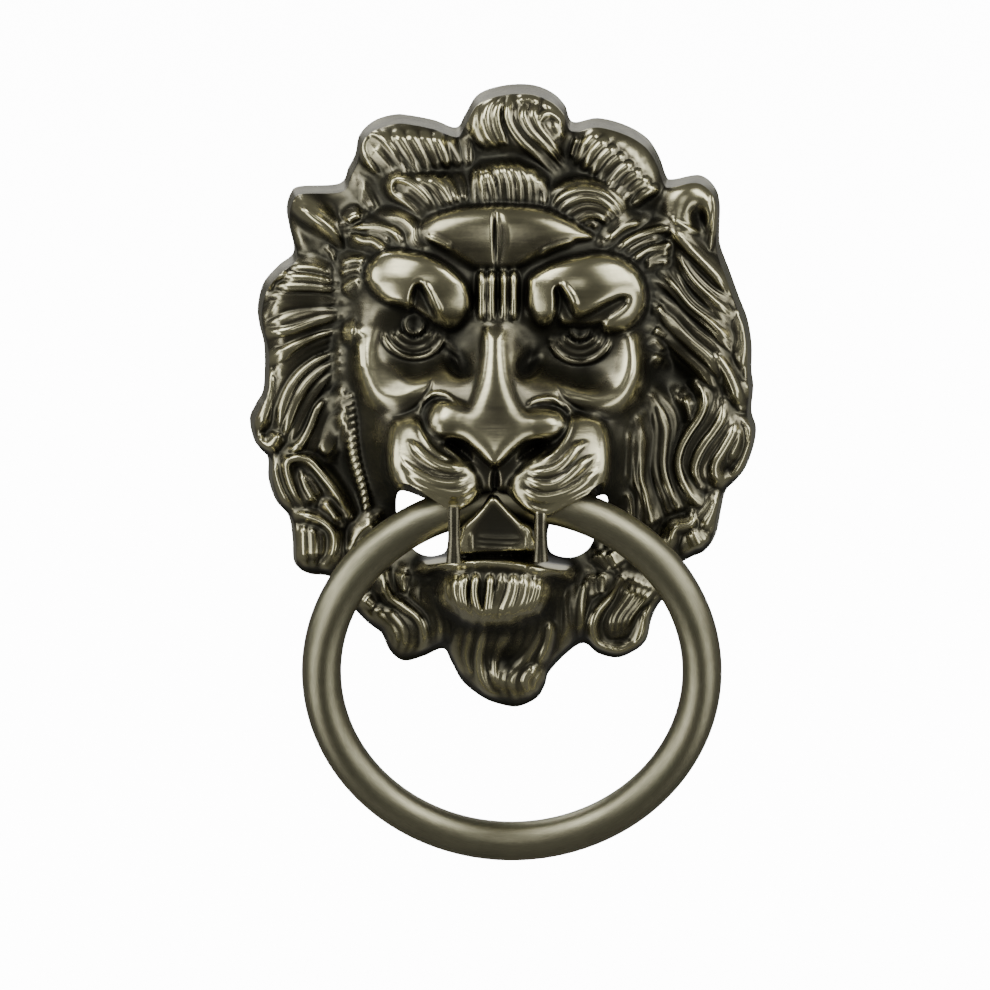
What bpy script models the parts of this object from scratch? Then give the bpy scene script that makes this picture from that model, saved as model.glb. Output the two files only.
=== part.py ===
"""Lion-head door knocker: a hollow cast head, a ring held in its mouth, and two through-door fixings.

Frame: +Z up, the head faces -Y, the door's outer face is y = 0 and the origin is the middle of the plate.
"""
import math
from collections import namedtuple

import bmesh
import bpy
import numpy as np
from mathutils import Matrix, Vector

MM = 0.001  # every size below is in millimetres

# Head plate
PLATE_WIDTH = 110.0
PLATE_HEIGHT = 136.2
EDGE_DEPTH = 8.0  # skirt round the outline, from the door to the relief
EDGE_DRAFT = 1.0  # how far the skirt leans in from the door to the relief
RELIEF_DEPTH = 40.0  # door to the fullest point of the muzzle
RIM_WIDTH = 4.0  # flat rear rim that bears on the door
WALL = 3.2
CORE_DEPTH = 22.0  # deepest hollow behind the face
MOUTH_CORE_DEPTH = 13.0  # deepest hollow behind the mouth, which stays thick for the ring's channel
MOUTH_MIDDLE = -22.0  # middle of that thick part
MOUTH_REACH = 24.0  # and its radius
CORE_DRAFT = 0.6
LEAST_HOLLOW = 1.0

# Ring
RING_OUTER_DIAMETER = 91.0
RING_ROD_DIAMETER = 8.8
RING_OFFSET = 1.9  # the ring hangs a little to the right of the middle
RING_HEIGHT = -18.6  # height of the rod's centre in the mouth
RING_LEAN = 17.0  # degrees from upright when its foot touches the door
RING_LIFT = 100.0  # degrees of swing from the door to fully lifted
RING_CLEARANCE = 0.6
CHANNEL_REACH = 27.0  # how far the room for the ring runs to each side inside the mouth
DOOR_GAP = 0.3  # what stays between the ring's foot and the door

# Teeth that hold the ring in the mouth
FANG_DIAMETER = 3.4
FANG_PLACES = (-10.5, 8.0)
FANG_TOP = -16.0
FANG_FOOT = -30.5
LIP_STAND = 0.6  # how far the lower lip stands in front of the fangs

# Fixings
DOOR_THICKNESS = 44.0
STUD_DIAMETER = 6.0
STUD_HEIGHTS = {"upper": 34.0, "lower": -54.0}
STUD_ENGAGEMENT = 10.0
STUD_TAIL = 5.0  # thread that stands past the washer, inside the nut
BOSS_DIAMETER = 13.0
BOSS_COVER = 2.4  # metal left between a boss and the relief in front of it, less than the wall
WASHER_DIAMETER = 18.0
WASHER_THICKNESS = 1.6
NUT_ACROSS_FLATS = 10.0
NUT_HEIGHT = 5.0
DOME_HEIGHT = 5.5
DOME_STEP = 0.3  # how far the dome's foot stays inside the nut's flats
FIT = 0.3  # gap that touching pieces keep
OVERSHOOT = 1.0  # how far a cutter runs past what it cuts
HOLE_OVERSHOOT = 5.0  # the same for the slanted cuts beside the mouth

# Fineness of the mesh
HEAD_RINGS = 24
RING_STEPS = 60
ROD_SIDES = 12
ROUND_SIDES = 24
FANG_SIDES = 10
CHANNEL_SIDES = 20
CHANNEL_STATIONS = 24
DOME_RINGS = 12
CROWDING = 1.2  # more than 1 draws the mesh together towards the face
SOFTENING = 2.0  # radius over which the relief is evened out

# The relief is drawn on a plate of this size, as seen from this many degrees above the door's normal
DRAWN_WIDTH = 110.0
DRAWN_HEIGHT = 136.2
DRAWN_DEPTH = 40.0
DRAWING_TILT = 9.0

OUTLINE = (
    # crown curls, left to right
    (-15.0, 59.6), (-10.2, 58.0), (-8.2, 60.8), (-5.4, 65.1), (0.0, 67.0), (6.0, 67.2), (10.5, 65.6), (13.4, 62.8),
    (15.1, 59.2), (20.5, 60.0), (26.5, 58.5), (31.2, 55.7), (33.8, 51.8), (35.4, 47.5), (36.8, 46.8),
    # right ear and right mane
    (42.5, 47.7), (45.8, 45.3), (47.0, 41.5), (46.9, 35.5), (47.2, 32.3), (49.2, 27.0), (51.2, 21.5), (53.1, 16.5),
    (54.0, 11.0), (54.0, 5.5), (54.4, 2.0), (54.0, -3.2), (55.0, -7.0), (54.3, -11.5), (52.2, -16.5), (48.6, -20.4),
    (47.5, -24.5), (46.5, -29.5), (44.6, -33.0), (41.5, -34.5), (39.2, -36.2), (38.6, -40.0), (34.2, -45.0),
    # beard, right to left
    (32.4, -48.5), (31.2, -53.2), (28.3, -55.5), (25.0, -56.6), (21.0, -55.7), (17.8, -53.5), (14.2, -55.6),
    (10.2, -59.8), (9.2, -62.8), (7.4, -65.5), (3.5, -67.3), (0.0, -67.0), (-4.2, -65.5), (-8.8, -62.0),
    (-11.3, -57.8), (-13.2, -54.7), (-17.5, -56.3), (-21.7, -57.3), (-24.6, -55.5), (-26.6, -51.5), (-30.0, -48.8),
    # left mane and left ear
    (-33.5, -45.0), (-35.6, -41.0), (-38.5, -38.7), (-42.8, -38.1), (-45.4, -36.2), (-45.8, -31.0), (-46.6, -26.2),
    (-49.4, -22.7), (-51.0, -18.0), (-51.2, -13.2), (-53.9, -10.0), (-55.0, -5.0), (-53.6, -1.6), (-52.0, 1.8),
    (-51.8, 10.5), (-52.9, 15.5), (-53.2, 19.5), (-51.9, 24.5), (-48.6, 28.3), (-45.4, 31.2), (-46.3, 36.5),
    (-46.9, 40.5), (-46.0, 43.8), (-44.0, 45.3), (-35.5, 45.9), (-33.5, 49.3), (-32.0, 52.3), (-31.0, 56.5),
    (-27.4, 59.7), (-21.5, 60.9),
)

# One rounded mass of the relief: its centre, half sizes, turn in degrees, depth at its foot and at its peak,
# and how full its section is (2 is a half ellipse, more is boxier)
Form = namedtuple("Form", "u w half_long half_short turn foot peak fullness")

MANE_FORMS = (
    Form(3.3, 57.8, 12.0, 8.6, -12, 9.0, 16.5, 3),  # crown curl
    Form(-20.5, 52.8, 11.2, 6.6, -5, 9.0, 15.5, 3),  # upper curl, left
    Form(25.0, 50.3, 11.5, 7.4, -40, 9.0, 15.5, 3),  # upper curl, right
    Form(-16.0, 43.0, 10.5, 5.0, -22, 12.0, 19.0, 3),  # second curl, left
    Form(18.3, 40.5, 9.5, 6.0, -5, 12.0, 19.0, 3),  # second curl, right
    Form(1.0, 45.5, 8.5, 5.0, 0, 13.0, 20.0, 3),  # forelock
    Form(-29.0, 43.0, 5.0, 3.4, -60, 10.0, 15.0, 2),  # small lock before the left ear
    Form(-27.0, 33.5, 7.0, 4.5, -20, 12.0, 18.0, 2),  # temple curl, left
    Form(30.5, 32.5, 8.0, 4.5, 20, 12.0, 18.0, 2),  # temple curl, right
    Form(-40.0, 38.5, 8.5, 3.0, -38, 9.0, 15.0, 3),  # upper rim of the left ear
    Form(-41.0, 32.5, 7.0, 4.5, -45, 8.5, 11.5, 2),  # lower leaf of the left ear
    Form(40.5, 40.5, 7.0, 7.4, 0, 8.5, 14.5, 3),  # right ear
    Form(-43.5, 23.8, 9.0, 3.8, -4, 9.0, 14.0, 2.5),  # left mane, from the ear down
    Form(-43.5, 17.6, 9.6, 3.6, 8, 9.0, 14.8, 2.5),
    Form(-42.5, 11.2, 10.5, 3.8, 24, 9.0, 15.2, 2.5),
    Form(-44.0, 3.5, 11.0, 4.0, 46, 9.0, 15.4, 2.5),
    Form(-48.5, -5.0, 7.5, 5.0, 75, 9.0, 14.0, 2.5),
    Form(-40.5, -4.0, 9.5, 3.6, 58, 9.0, 15.6, 2.5),
    Form(-42.0, -19.5, 8.8, 5.2, -55, 9.0, 14.6, 2.5),
    Form(-48.0, -19.0, 6.5, 2.4, -65, 9.0, 12.5, 2.5),
    Form(-41.0, -31.5, 6.2, 4.6, 80, 9.0, 13.8, 2.5),
    Form(-33.2, -6.0, 19.0, 2.6, 88, 10.0, 16.5, 2.5),  # twisted lock along the left cheek
    Form(41.5, 28.0, 11.5, 4.0, -38, 9.0, 15.0, 2.5),  # right mane, from the ear down
    Form(43.0, 20.0, 12.0, 4.2, -42, 9.0, 15.8, 2.5),
    Form(46.0, 11.0, 11.0, 4.0, -50, 9.0, 15.2, 2.5),
    Form(39.5, 8.5, 12.0, 4.2, -55, 9.0, 16.0, 2.5),
    Form(41.5, -9.0, 12.0, 4.4, 75, 9.0, 15.8, 2.5),
    Form(49.5, -10.5, 8.8, 4.4, 72, 9.0, 14.2, 2.5),
    Form(33.5, -9.0, 13.0, 3.4, 96, 10.0, 16.5, 2.5),
    Form(29.2, -16.0, 10.5, 2.6, 92, 10.0, 15.5, 2.5),
    Form(43.0, -27.5, 6.6, 4.4, 60, 9.0, 13.8, 2.5),
)

FACE_FORMS = (
    Form(-0.5, 9.0, 40.0, 32.0, 90, 9.0, 20.5, 2),  # the whole face
    Form(-1.0, 33.0, 19.0, 14.5, 0, 12.0, 24.5, 2),  # forehead
    Form(-23.5, 25.0, 9.2, 5.4, -28, 16.0, 27.0, 2),  # brow, left outer
    Form(-11.8, 21.5, 5.2, 7.4, 8, 18.0, 28.5, 2.5),  # brow, left inner
    Form(8.2, 20.4, 4.2, 6.6, -6, 18.0, 28.5, 2.5),  # brow, right inner
    Form(20.0, 23.4, 9.6, 5.8, 8, 16.0, 27.5, 2),  # brow, right outer
    Form(25.2, 17.3, 5.2, 3.6, 40, 16.0, 25.5, 2),  # fold beside the right eye
    Form(-1.2, 21.0, 5.4, 6.6, 0, 18.0, 25.5, 3),  # between the brows
    Form(-19.0, 13.2, 7.0, 6.2, 0, 16.0, 22.0, 2),  # left eye and lower lid
    Form(16.3, 12.0, 6.8, 6.0, 0, 16.0, 22.0, 2),  # right eye and lower lid
    Form(-1.4, 4.0, 4.6, 15.5, 0, 19.0, 33.0, 3),  # bridge of the nose
    Form(-8.8, -5.6, 7.2, 5.4, 28, 20.0, 33.0, 2.5),  # nose wing, left
    Form(6.4, -6.2, 6.8, 5.2, -28, 20.0, 33.0, 2.5),  # nose wing, right
    Form(-1.0, -8.4, 5.6, 6.8, 0, 20.0, 37.0, 2.5),  # tip of the nose
    Form(-27.6, 4.0, 12.0, 4.4, 84, 14.0, 24.5, 2),  # cheek, left
    Form(26.0, 3.0, 11.5, 4.6, 100, 14.0, 25.5, 2),  # cheek, right
    Form(-20.0, 0.4, 8.0, 4.0, 14, 16.0, 27.0, 2),  # roll above the muzzle, left
    Form(17.5, -0.6, 9.0, 4.0, -12, 16.0, 27.0, 2),  # roll above the muzzle, right
    Form(-1.2, -7.0, 24.0, 17.0, 0, 13.0, 33.0, 2),  # the whole muzzle
    Form(-15.0, -14.8, 11.8, 9.2, -50, 18.0, 39.5, 4),  # muzzle, left
    Form(12.2, -16.0, 12.2, 9.4, 52, 18.0, 40.0, 4),  # muzzle, right
    Form(-1.2, -29.0, 10.5, 6.5, 0, 14.0, 20.0, 4),  # back of the mouth
    Form(-1.8, -41.2, 12.5, 8.0, 0, 15.0, 36.5, 4),  # chin
    Form(-0.5, -55.0, 10.2, 11.4, 0, 9.0, 19.5, 2.5),  # beard
    Form(-21.5, -49.6, 9.2, 5.6, -55, 9.0, 15.0, 2.5),  # beard locks, left
    Form(-13.6, -46.0, 9.6, 3.8, -80, 9.0, 17.0, 2.5),
    Form(-25.5, -38.0, 8.6, 4.4, -60, 9.0, 15.5, 2.5),
    Form(25.6, -48.0, 10.0, 6.2, 60, 9.0, 15.5, 2.5),  # beard locks, right
    Form(14.6, -47.0, 10.0, 4.2, 86, 9.0, 17.0, 2.5),
    Form(24.5, -36.0, 8.6, 4.6, 60, 9.0, 15.5, 2.5),
)

EAR_BOWL = Form(40.0, 40.8, 5.0, 5.4, 0, 14.6, 10.5, 2)  # hollow of the right ear
BLEND = 1.5  # how softly neighbouring forms run together
EDGE_ROLL = 3.5  # how far the ground between the locks rises inside the skirt
OUTER_FALL = 8.0  # how fast a form drops away outside its own edge

# Openings each side of the mouth, drawn as the outline is
MOUTH_HOLES = (
    ((-23.0, -25.5), (-22.6, -21.0), (-19.5, -21.2), (-14.0, -24.0), (-12.1, -27.0), (-12.1, -33.0), (-14.0, -34.5),
     (-16.8, -34.6), (-19.4, -33.2), (-21.8, -30.0)),
    ((22.4, -24.0), (22.0, -21.6), (19.0, -22.4), (13.5, -25.0), (10.0, -28.0), (9.8, -32.8), (11.4, -34.5),
     (14.6, -35.0), (17.4, -34.0), (19.4, -31.6)),
)

LOWER_LIP = (
    (-18.0, -37.6), (-11.5, -34.4), (-6.0, -34.2), (0.0, -34.8), (6.0, -35.4), (10.0, -36.4), (15.0, -38.4),
    (11.0, -39.2), (6.0, -38.2), (0.0, -37.2), (-6.0, -36.8), (-12.0, -37.4), (-16.0, -38.6),
)

COLLECTION_NAME = "lion_head_door_knocker"

ROD_RADIUS = RING_ROD_DIAMETER / 2
RING_RADIUS = RING_OUTER_DIAMETER / 2 - ROD_RADIUS
MOUTH_DEPTH = ROD_RADIUS + DOOR_GAP + 2 * RING_RADIUS * math.sin(math.radians(RING_LEAN))
TILT_SIN = math.sin(math.radians(DRAWING_TILT))
TILT_COS = math.cos(math.radians(DRAWING_TILT))
WIDTH_SCALE = PLATE_WIDTH / DRAWN_WIDTH
HEIGHT_SCALE = PLATE_HEIGHT / DRAWN_HEIGHT
DEPTH_SCALE = (RELIEF_DEPTH - EDGE_DEPTH) / (DRAWN_DEPTH - EDGE_DEPTH)


def start_collections():
    """Clears the scene and returns the collections for the parts and for the cutters."""
    for thing in list(bpy.data.objects):
        bpy.data.objects.remove(thing, do_unlink=True)
    parts = bpy.data.collections.new(COLLECTION_NAME)
    cutters = bpy.data.collections.new("cutters")
    for collection in (parts, cutters):
        bpy.context.scene.collection.children.link(collection)
    return parts, cutters


def metal(name, colour, roughness, metallic=1.0):
    """A plain metal material."""
    material = bpy.data.materials.new(name)
    material.use_nodes = True
    shader = material.node_tree.nodes["Principled BSDF"]
    shader.inputs["Base Color"].default_value = (*colour, 1.0)
    shader.inputs["Roughness"].default_value = roughness
    shader.inputs["Metallic"].default_value = metallic
    return material


def add_object(name, mesh, collection, material=None):
    thing = bpy.data.objects.new(name, mesh)
    collection.objects.link(thing)
    if material:
        mesh.materials.append(material)
    return thing


def as_cutter(thing):
    thing.hide_render = True
    thing.display_type = "WIRE"
    return thing


def mesh_from(working, name):
    """A mesh data block from a finished bmesh, with its faces turned outwards."""
    bmesh.ops.recalc_face_normals(working, faces=working.faces)
    mesh = bpy.data.meshes.new(name)
    working.to_mesh(mesh)
    working.free()
    return mesh


def shade_round(mesh, sharp_degrees=40.0):
    mesh.shade_smooth()
    mesh.set_sharp_from_angle(angle=math.radians(sharp_degrees))


def add_boolean(thing, cutter, operation, solver="EXACT"):
    modifier = thing.modifiers.new(operation.lower() + "_" + cutter.name, "BOOLEAN")
    modifier.operation = operation
    modifier.solver = solver
    modifier.object = cutter


def softer_max(first, second):
    """The larger of two depths, rounded where they cross."""
    return 0.5 * (first + second + np.sqrt((first - second) ** 2 + BLEND**2))


def outline_radius(angle, inset=0.0):
    """Distance from the middle to the drawn outline, less an inset, at each angle."""
    points = np.array(OUTLINE)
    angles = np.arctan2(points[:, 1], points[:, 0])
    radii = np.hypot(points[:, 0], points[:, 1])
    order = np.argsort(angles)
    return np.interp(angle, angles[order], radii[order], period=2 * math.pi) - inset


def across_form(form, u, w):
    """How far out from a form's middle each point lies: 1 is its edge."""
    turn = math.radians(form.turn)
    along = (u - form.u) * math.cos(turn) + (w - form.w) * math.sin(turn)
    across = (w - form.w) * math.cos(turn) - (u - form.u) * math.sin(turn)
    return np.hypot(along / form.half_long, across / form.half_short)


def form_depth(form, u, w):
    """Depth of one form, falling away steeply outside its edge."""
    reach = across_form(form, u, w)
    fill = (1 - np.minimum(reach, 1.0) ** form.fullness) ** (1 / form.fullness)
    return form.foot + (form.peak - form.foot) * fill - OUTER_FALL * np.maximum(reach - 1.0, 0.0)


def carved_depth(u, w):
    """Depth of the relief in front of the door, at drawn places u across and w up."""
    share = np.hypot(u, w) / outline_radius(np.arctan2(w, u))
    depth = EDGE_DEPTH + EDGE_ROLL * (1 - np.minimum(share, 1.0) ** 10)
    for form in MANE_FORMS + FACE_FORMS:
        depth = softer_max(depth, form_depth(form, u, w))
    bowl_reach = across_form(EAR_BOWL, u, w)
    bowl = EAR_BOWL.peak + (EAR_BOWL.foot - EAR_BOWL.peak) * bowl_reach**2
    depth = np.where(bowl_reach < 1.0, np.minimum(depth, bowl), depth)
    return EDGE_DEPTH + (depth - EDGE_DEPTH) * DEPTH_SCALE


def circle_steps(radius):
    """Eight steps round a circle."""
    turns = [math.pi * step / 4 for step in range(8)]
    return [(radius * math.cos(turn), radius * math.sin(turn)) for turn in turns]


def relief_depth(u, w):
    """The carved depth, evened out so that a coarse mesh can follow it."""
    total = 2 * carved_depth(u, w)
    for step_u, step_w in circle_steps(SOFTENING) + circle_steps(SOFTENING / 2):
        total = total + carved_depth(u + step_u, w + step_w)
    return total / 18


def hollow_depth(u, w):
    """Depth of the cored-out back: a wall's thickness inside the relief on every side."""
    depth = relief_depth(u, w) - WALL
    for step_u, step_w in circle_steps(WALL):
        depth = np.minimum(depth, relief_depth(u + step_u, w + step_w))
    past_mouth = np.hypot(u, w - MOUTH_MIDDLE) - MOUTH_REACH
    core = MOUTH_CORE_DEPTH + np.clip(past_mouth, 0.0, CORE_DEPTH - MOUTH_CORE_DEPTH)
    return np.clip(depth, LEAST_HOLLOW, core)


def place(u, w, depth):
    """Drawn points at a depth in front of the door, in metres."""
    x = u * WIDTH_SCALE
    z = (w + depth * TILT_SIN) / TILT_COS * HEIGHT_SCALE
    return np.stack([x, -depth, z], axis=-1) * MM


def disc_places(a, b):
    """Share of the radius and angle of a square grid's points when the grid is pressed into a disc."""
    across = a * np.sqrt(1 - b**2 / 2)
    up = b * np.sqrt(1 - a**2 / 2)
    return np.hypot(across, up), np.arctan2(up, across)


def front_points(a, b):
    """Points of the carved front."""
    share, angle = disc_places(a, b)
    radius = share**CROWDING * outline_radius(angle, EDGE_DRAFT)
    u = radius * np.cos(angle)
    w = radius * np.sin(angle) - EDGE_DEPTH * TILT_SIN
    is_edge = np.maximum(np.abs(a), np.abs(b)) > 1 - 0.5 / HEAD_RINGS
    depth = np.where(is_edge, EDGE_DEPTH, relief_depth(u, w))
    return place(u, w, depth)


def back_points(a, b):
    """Points of the flat rear rim and of the hollow inside it."""
    share, angle = disc_places(a, b)
    rings_in = (1 - np.maximum(np.abs(a), np.abs(b))) * HEAD_RINGS
    outer = outline_radius(angle)
    inner = outer - RIM_WIDTH
    radius = share * (inner - CORE_DRAFT)
    radius = np.where(rings_in < 1.5, inner, radius)
    radius = np.where(rings_in < 0.5, outer, radius)
    u = radius * np.cos(angle)
    w = radius * np.sin(angle)
    return place(u, w, np.where(rings_in < 1.5, 0.0, hollow_depth(u, w)))


def head_shell():
    """The head as a closed shell: a grid pressed into the outline, thickened, then moved to front and back."""
    bpy.ops.mesh.primitive_grid_add(x_subdivisions=2 * HEAD_RINGS, y_subdivisions=2 * HEAD_RINGS, size=2.0)
    grid = bpy.context.object
    solid_thickness = 0.5
    solid = grid.modifiers.new("thickness", "SOLIDIFY")
    solid.thickness = solid_thickness
    solid.offset = -1.0
    mesh = bpy.data.meshes.new_from_object(grid.evaluated_get(bpy.context.evaluated_depsgraph_get()))
    bpy.data.objects.remove(grid, do_unlink=True)
    points = np.array([vertex.co for vertex in mesh.vertices])
    a = points[:, 0].clip(-1, 1)
    b = points[:, 1].clip(-1, 1)
    is_front = points[:, 2] > -solid_thickness / 2
    places = np.where(is_front[:, None], front_points(a, b), back_points(a, b))
    for vertex, co in zip(mesh.vertices, places):
        vertex.co = co
    return mesh


def drawn_prism(name, points, low, high, collection):
    """A prism with a drawn outline, run along the drawing's line of sight between two depths at its middle."""
    middle_w = sum(w for _, w in points) / len(points)
    near = (low + middle_w * TILT_SIN) / TILT_COS
    far = (high + middle_w * TILT_SIN) / TILT_COS
    curve = bpy.data.curves.new(name, "CURVE")
    curve.dimensions = "2D"
    curve.fill_mode = "BOTH"
    curve.extrude = (far - near) / 2 * MM
    spline = curve.splines.new("POLY")
    spline.points.add(len(points) - 1)
    for point, (u, w) in zip(spline.points, points):
        point.co = (u * WIDTH_SCALE * MM, w * HEIGHT_SCALE * MM, 0.0, 1.0)
    spline.use_cyclic_u = True
    drawn = bpy.data.objects.new(name + "_curve", curve)
    collection.objects.link(drawn)
    mesh = bpy.data.meshes.new_from_object(drawn.evaluated_get(bpy.context.evaluated_depsgraph_get()))
    bpy.data.objects.remove(drawn, do_unlink=True)
    working = bmesh.new()
    working.from_mesh(mesh)
    bmesh.ops.remove_doubles(working, verts=working.verts, dist=0.01 * MM)
    sight = Matrix.Rotation(math.radians(90 - DRAWING_TILT), 4, "X")
    middle = Matrix.Translation(Vector((0, 0, (near + far) / 2)) * MM)
    bmesh.ops.transform(working, matrix=sight @ middle, verts=working.verts)
    return as_cutter(add_object(name, mesh_from(working, name), collection))


def rod(name, diameter, start, end, sides, collection, material=None):
    """A plain round rod between two points given in millimetres."""
    start = Vector(start) * MM
    end = Vector(end) * MM
    working = bmesh.new()
    bmesh.ops.create_cone(
        working, cap_ends=True, segments=sides, radius1=diameter / 2 * MM, radius2=diameter / 2 * MM,
        depth=(end - start).length)
    turn = Vector((0, 0, 1)).rotation_difference(end - start).to_matrix().to_4x4()
    bmesh.ops.transform(working, matrix=Matrix.Translation((start + end) / 2) @ turn, verts=working.verts)
    mesh = mesh_from(working, name)
    shade_round(mesh)
    return add_object(name, mesh, collection, material)


def ring_drop(x):
    """How far the rod's centre lies from the hinge line at a place across."""
    return RING_RADIUS - math.sqrt(RING_RADIUS**2 - (x - RING_OFFSET) ** 2)


def lift_direction(degrees):
    """Unit vector from the hinge line to the ring's middle after a lift, as (y, z)."""
    turn = math.radians(degrees - RING_LEAN)
    return -math.sin(turn), -math.cos(turn)


def channel_point(x, turn):
    """A point of the room that the rod sweeps in the mouth, on the section at x."""
    drop = ring_drop(x)
    slant = math.sqrt(1 - ((x - RING_OFFSET) / RING_RADIUS) ** 2)
    room = ROD_RADIUS / slant + RING_CLEARANCE
    held = min(max(turn, 0.0), RING_LIFT)
    centre_y, centre_z = lift_direction(held)
    side_y, side_z = lift_direction(turn)
    y = -MOUTH_DEPTH + drop * centre_y + room * side_y
    z = RING_HEIGHT + drop * centre_z + room * side_z
    return Vector((x, y, z)) * MM


def ring_channel(collection):
    """The room that the ring needs in the mouth through its whole swing."""
    working = bmesh.new()
    bmesh.ops.create_uvsphere(working, u_segments=CHANNEL_SIDES, v_segments=CHANNEL_STATIONS, radius=1.0)
    for vertex in working.verts:
        latitude = math.acos(max(-1.0, min(1.0, vertex.co.z))) / math.pi
        x = RING_OFFSET + CHANNEL_REACH * (2 * latitude - 1)
        turn = math.degrees(math.atan2(vertex.co.y, vertex.co.x))
        middle_lift = RING_LIFT / 2
        is_pole = math.hypot(vertex.co.x, vertex.co.y) < 0.001
        if is_pole:
            drop = ring_drop(x)
            y, z = lift_direction(middle_lift)
            vertex.co = Vector((x, -MOUTH_DEPTH + drop * y, RING_HEIGHT + drop * z)) * MM
        else:
            vertex.co = channel_point(x, turn + middle_lift)
    return as_cutter(add_object("ring_channel", mesh_from(working, "ring_channel"), collection))


def fang_depth(x):
    """Depth of a tooth's centre line, clear in front of the rod."""
    return MOUTH_DEPTH + ring_drop(x) + ROD_RADIUS + RING_CLEARANCE + FANG_DIAMETER / 2


def lower_lip(collection):
    """The bar of the lower lip, which the teeth stand on."""
    front = max(fang_depth(x) for x in FANG_PLACES) + FANG_DIAMETER / 2 + LIP_STAND
    return drawn_prism("lower_lip", LOWER_LIP, MOUTH_CORE_DEPTH + WALL / 2, front, collection)


def fang(name, x, collection):
    """A tooth in front of the rod, from the upper lip down into the lower lip."""
    depth = fang_depth(x)
    top = (x, -depth, FANG_TOP)
    foot = (x, -depth, FANG_FOOT)
    return as_cutter(rod(name, FANG_DIAMETER, top, foot, FANG_SIDES, collection))


def depth_at(height):
    """Depth of the relief in front of a height on the door, on the middle line."""
    depth = EDGE_DEPTH
    for _ in range(4):
        drawn = height / HEIGHT_SCALE * TILT_COS - depth * TILT_SIN
        depth = float(relief_depth(np.array(0.0), np.array(drawn)))
    return depth


def boss(side, collection):
    """A boss behind the relief that takes a stud."""
    height = STUD_HEIGHTS[side]
    depth = depth_at(height) - BOSS_COVER
    return as_cutter(rod("boss_" + side, BOSS_DIAMETER, (0, 0, height), (0, -depth, height), ROUND_SIDES, collection))


def stud_hole(side, collection):
    height = STUD_HEIGHTS[side]
    diameter = STUD_DIAMETER + 2 * FIT
    start = (0, OVERSHOOT, height)
    return as_cutter(
        rod("stud_hole_" + side, diameter, start, (0, -STUD_ENGAGEMENT, height), ROUND_SIDES, collection))


def head_casting(parts, cutters, material):
    """The cast head with its mouth, fangs and stud bosses."""
    head = add_object("head_casting", head_shell(), parts, material)
    joined = [boss(side, cutters) for side in STUD_HEIGHTS]
    joined.append(lower_lip(cutters))
    removed = [ring_channel(cutters)]
    for number, points in enumerate(MOUTH_HOLES):
        removed.append(drawn_prism(f"mouth_hole_{number}", points, -HOLE_OVERSHOOT, RELIEF_DEPTH, cutters))
    removed += [stud_hole(side, cutters) for side in STUD_HEIGHTS]
    # the exact solver leaves open edges among the relief's many slanted faces
    solver = "MANIFOLD"
    for piece in joined:
        add_boolean(head, piece, "UNION", solver)
    for piece in removed:
        add_boolean(head, piece, "DIFFERENCE", solver)
    for number, x in enumerate(FANG_PLACES):
        add_boolean(head, fang(f"fang_{number}", x, cutters), "UNION", solver)
    shade_round(head.data, 60.0)
    return head


def knocker_ring(parts, material):
    """The ring, with its origin on the hinge line through the rod's centre in the mouth."""
    bpy.ops.mesh.primitive_torus_add(
        major_segments=RING_STEPS, minor_segments=ROD_SIDES, major_radius=RING_RADIUS * MM,
        minor_radius=ROD_RADIUS * MM)
    ring = bpy.context.object
    ring.name = "knocker_ring"
    mesh = ring.data
    mesh.transform(Matrix.Translation((0, -RING_RADIUS * MM, 0)))
    mesh.transform(Matrix.Rotation(math.radians(90), 4, "X"))
    shade_round(mesh, 60.0)
    mesh.materials.append(material)
    ring.location = Vector((RING_OFFSET, -MOUTH_DEPTH, RING_HEIGHT)) * MM
    ring.rotation_euler = (math.radians(RING_LEAN), 0, 0)
    for collection in list(ring.users_collection):
        collection.objects.unlink(ring)
    parts.objects.link(ring)
    return ring


def stud(side, parts, material):
    """A plain stud from the boss, through the door, into the nut."""
    height = STUD_HEIGHTS[side]
    start = (0, -(STUD_ENGAGEMENT - FIT), height)
    end = (0, DOOR_THICKNESS + WASHER_THICKNESS + STUD_TAIL, height)
    return rod("stud_" + side, STUD_DIAMETER, start, end, ROUND_SIDES, parts, material)


def washer(side, parts, cutters, material):
    """A flat washer on the inner face of the door."""
    height = STUD_HEIGHTS[side]
    near = DOOR_THICKNESS
    far = DOOR_THICKNESS + WASHER_THICKNESS
    disc = rod("washer_" + side, WASHER_DIAMETER, (0, near, height), (0, far, height), ROUND_SIDES, parts, material)
    hole = rod("washer_hole_" + side, STUD_DIAMETER + 2 * FIT, (0, near - OVERSHOOT, height), (0, far + OVERSHOOT, height),
               ROUND_SIDES, cutters)
    add_boolean(disc, as_cutter(hole), "DIFFERENCE")
    return disc


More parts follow.
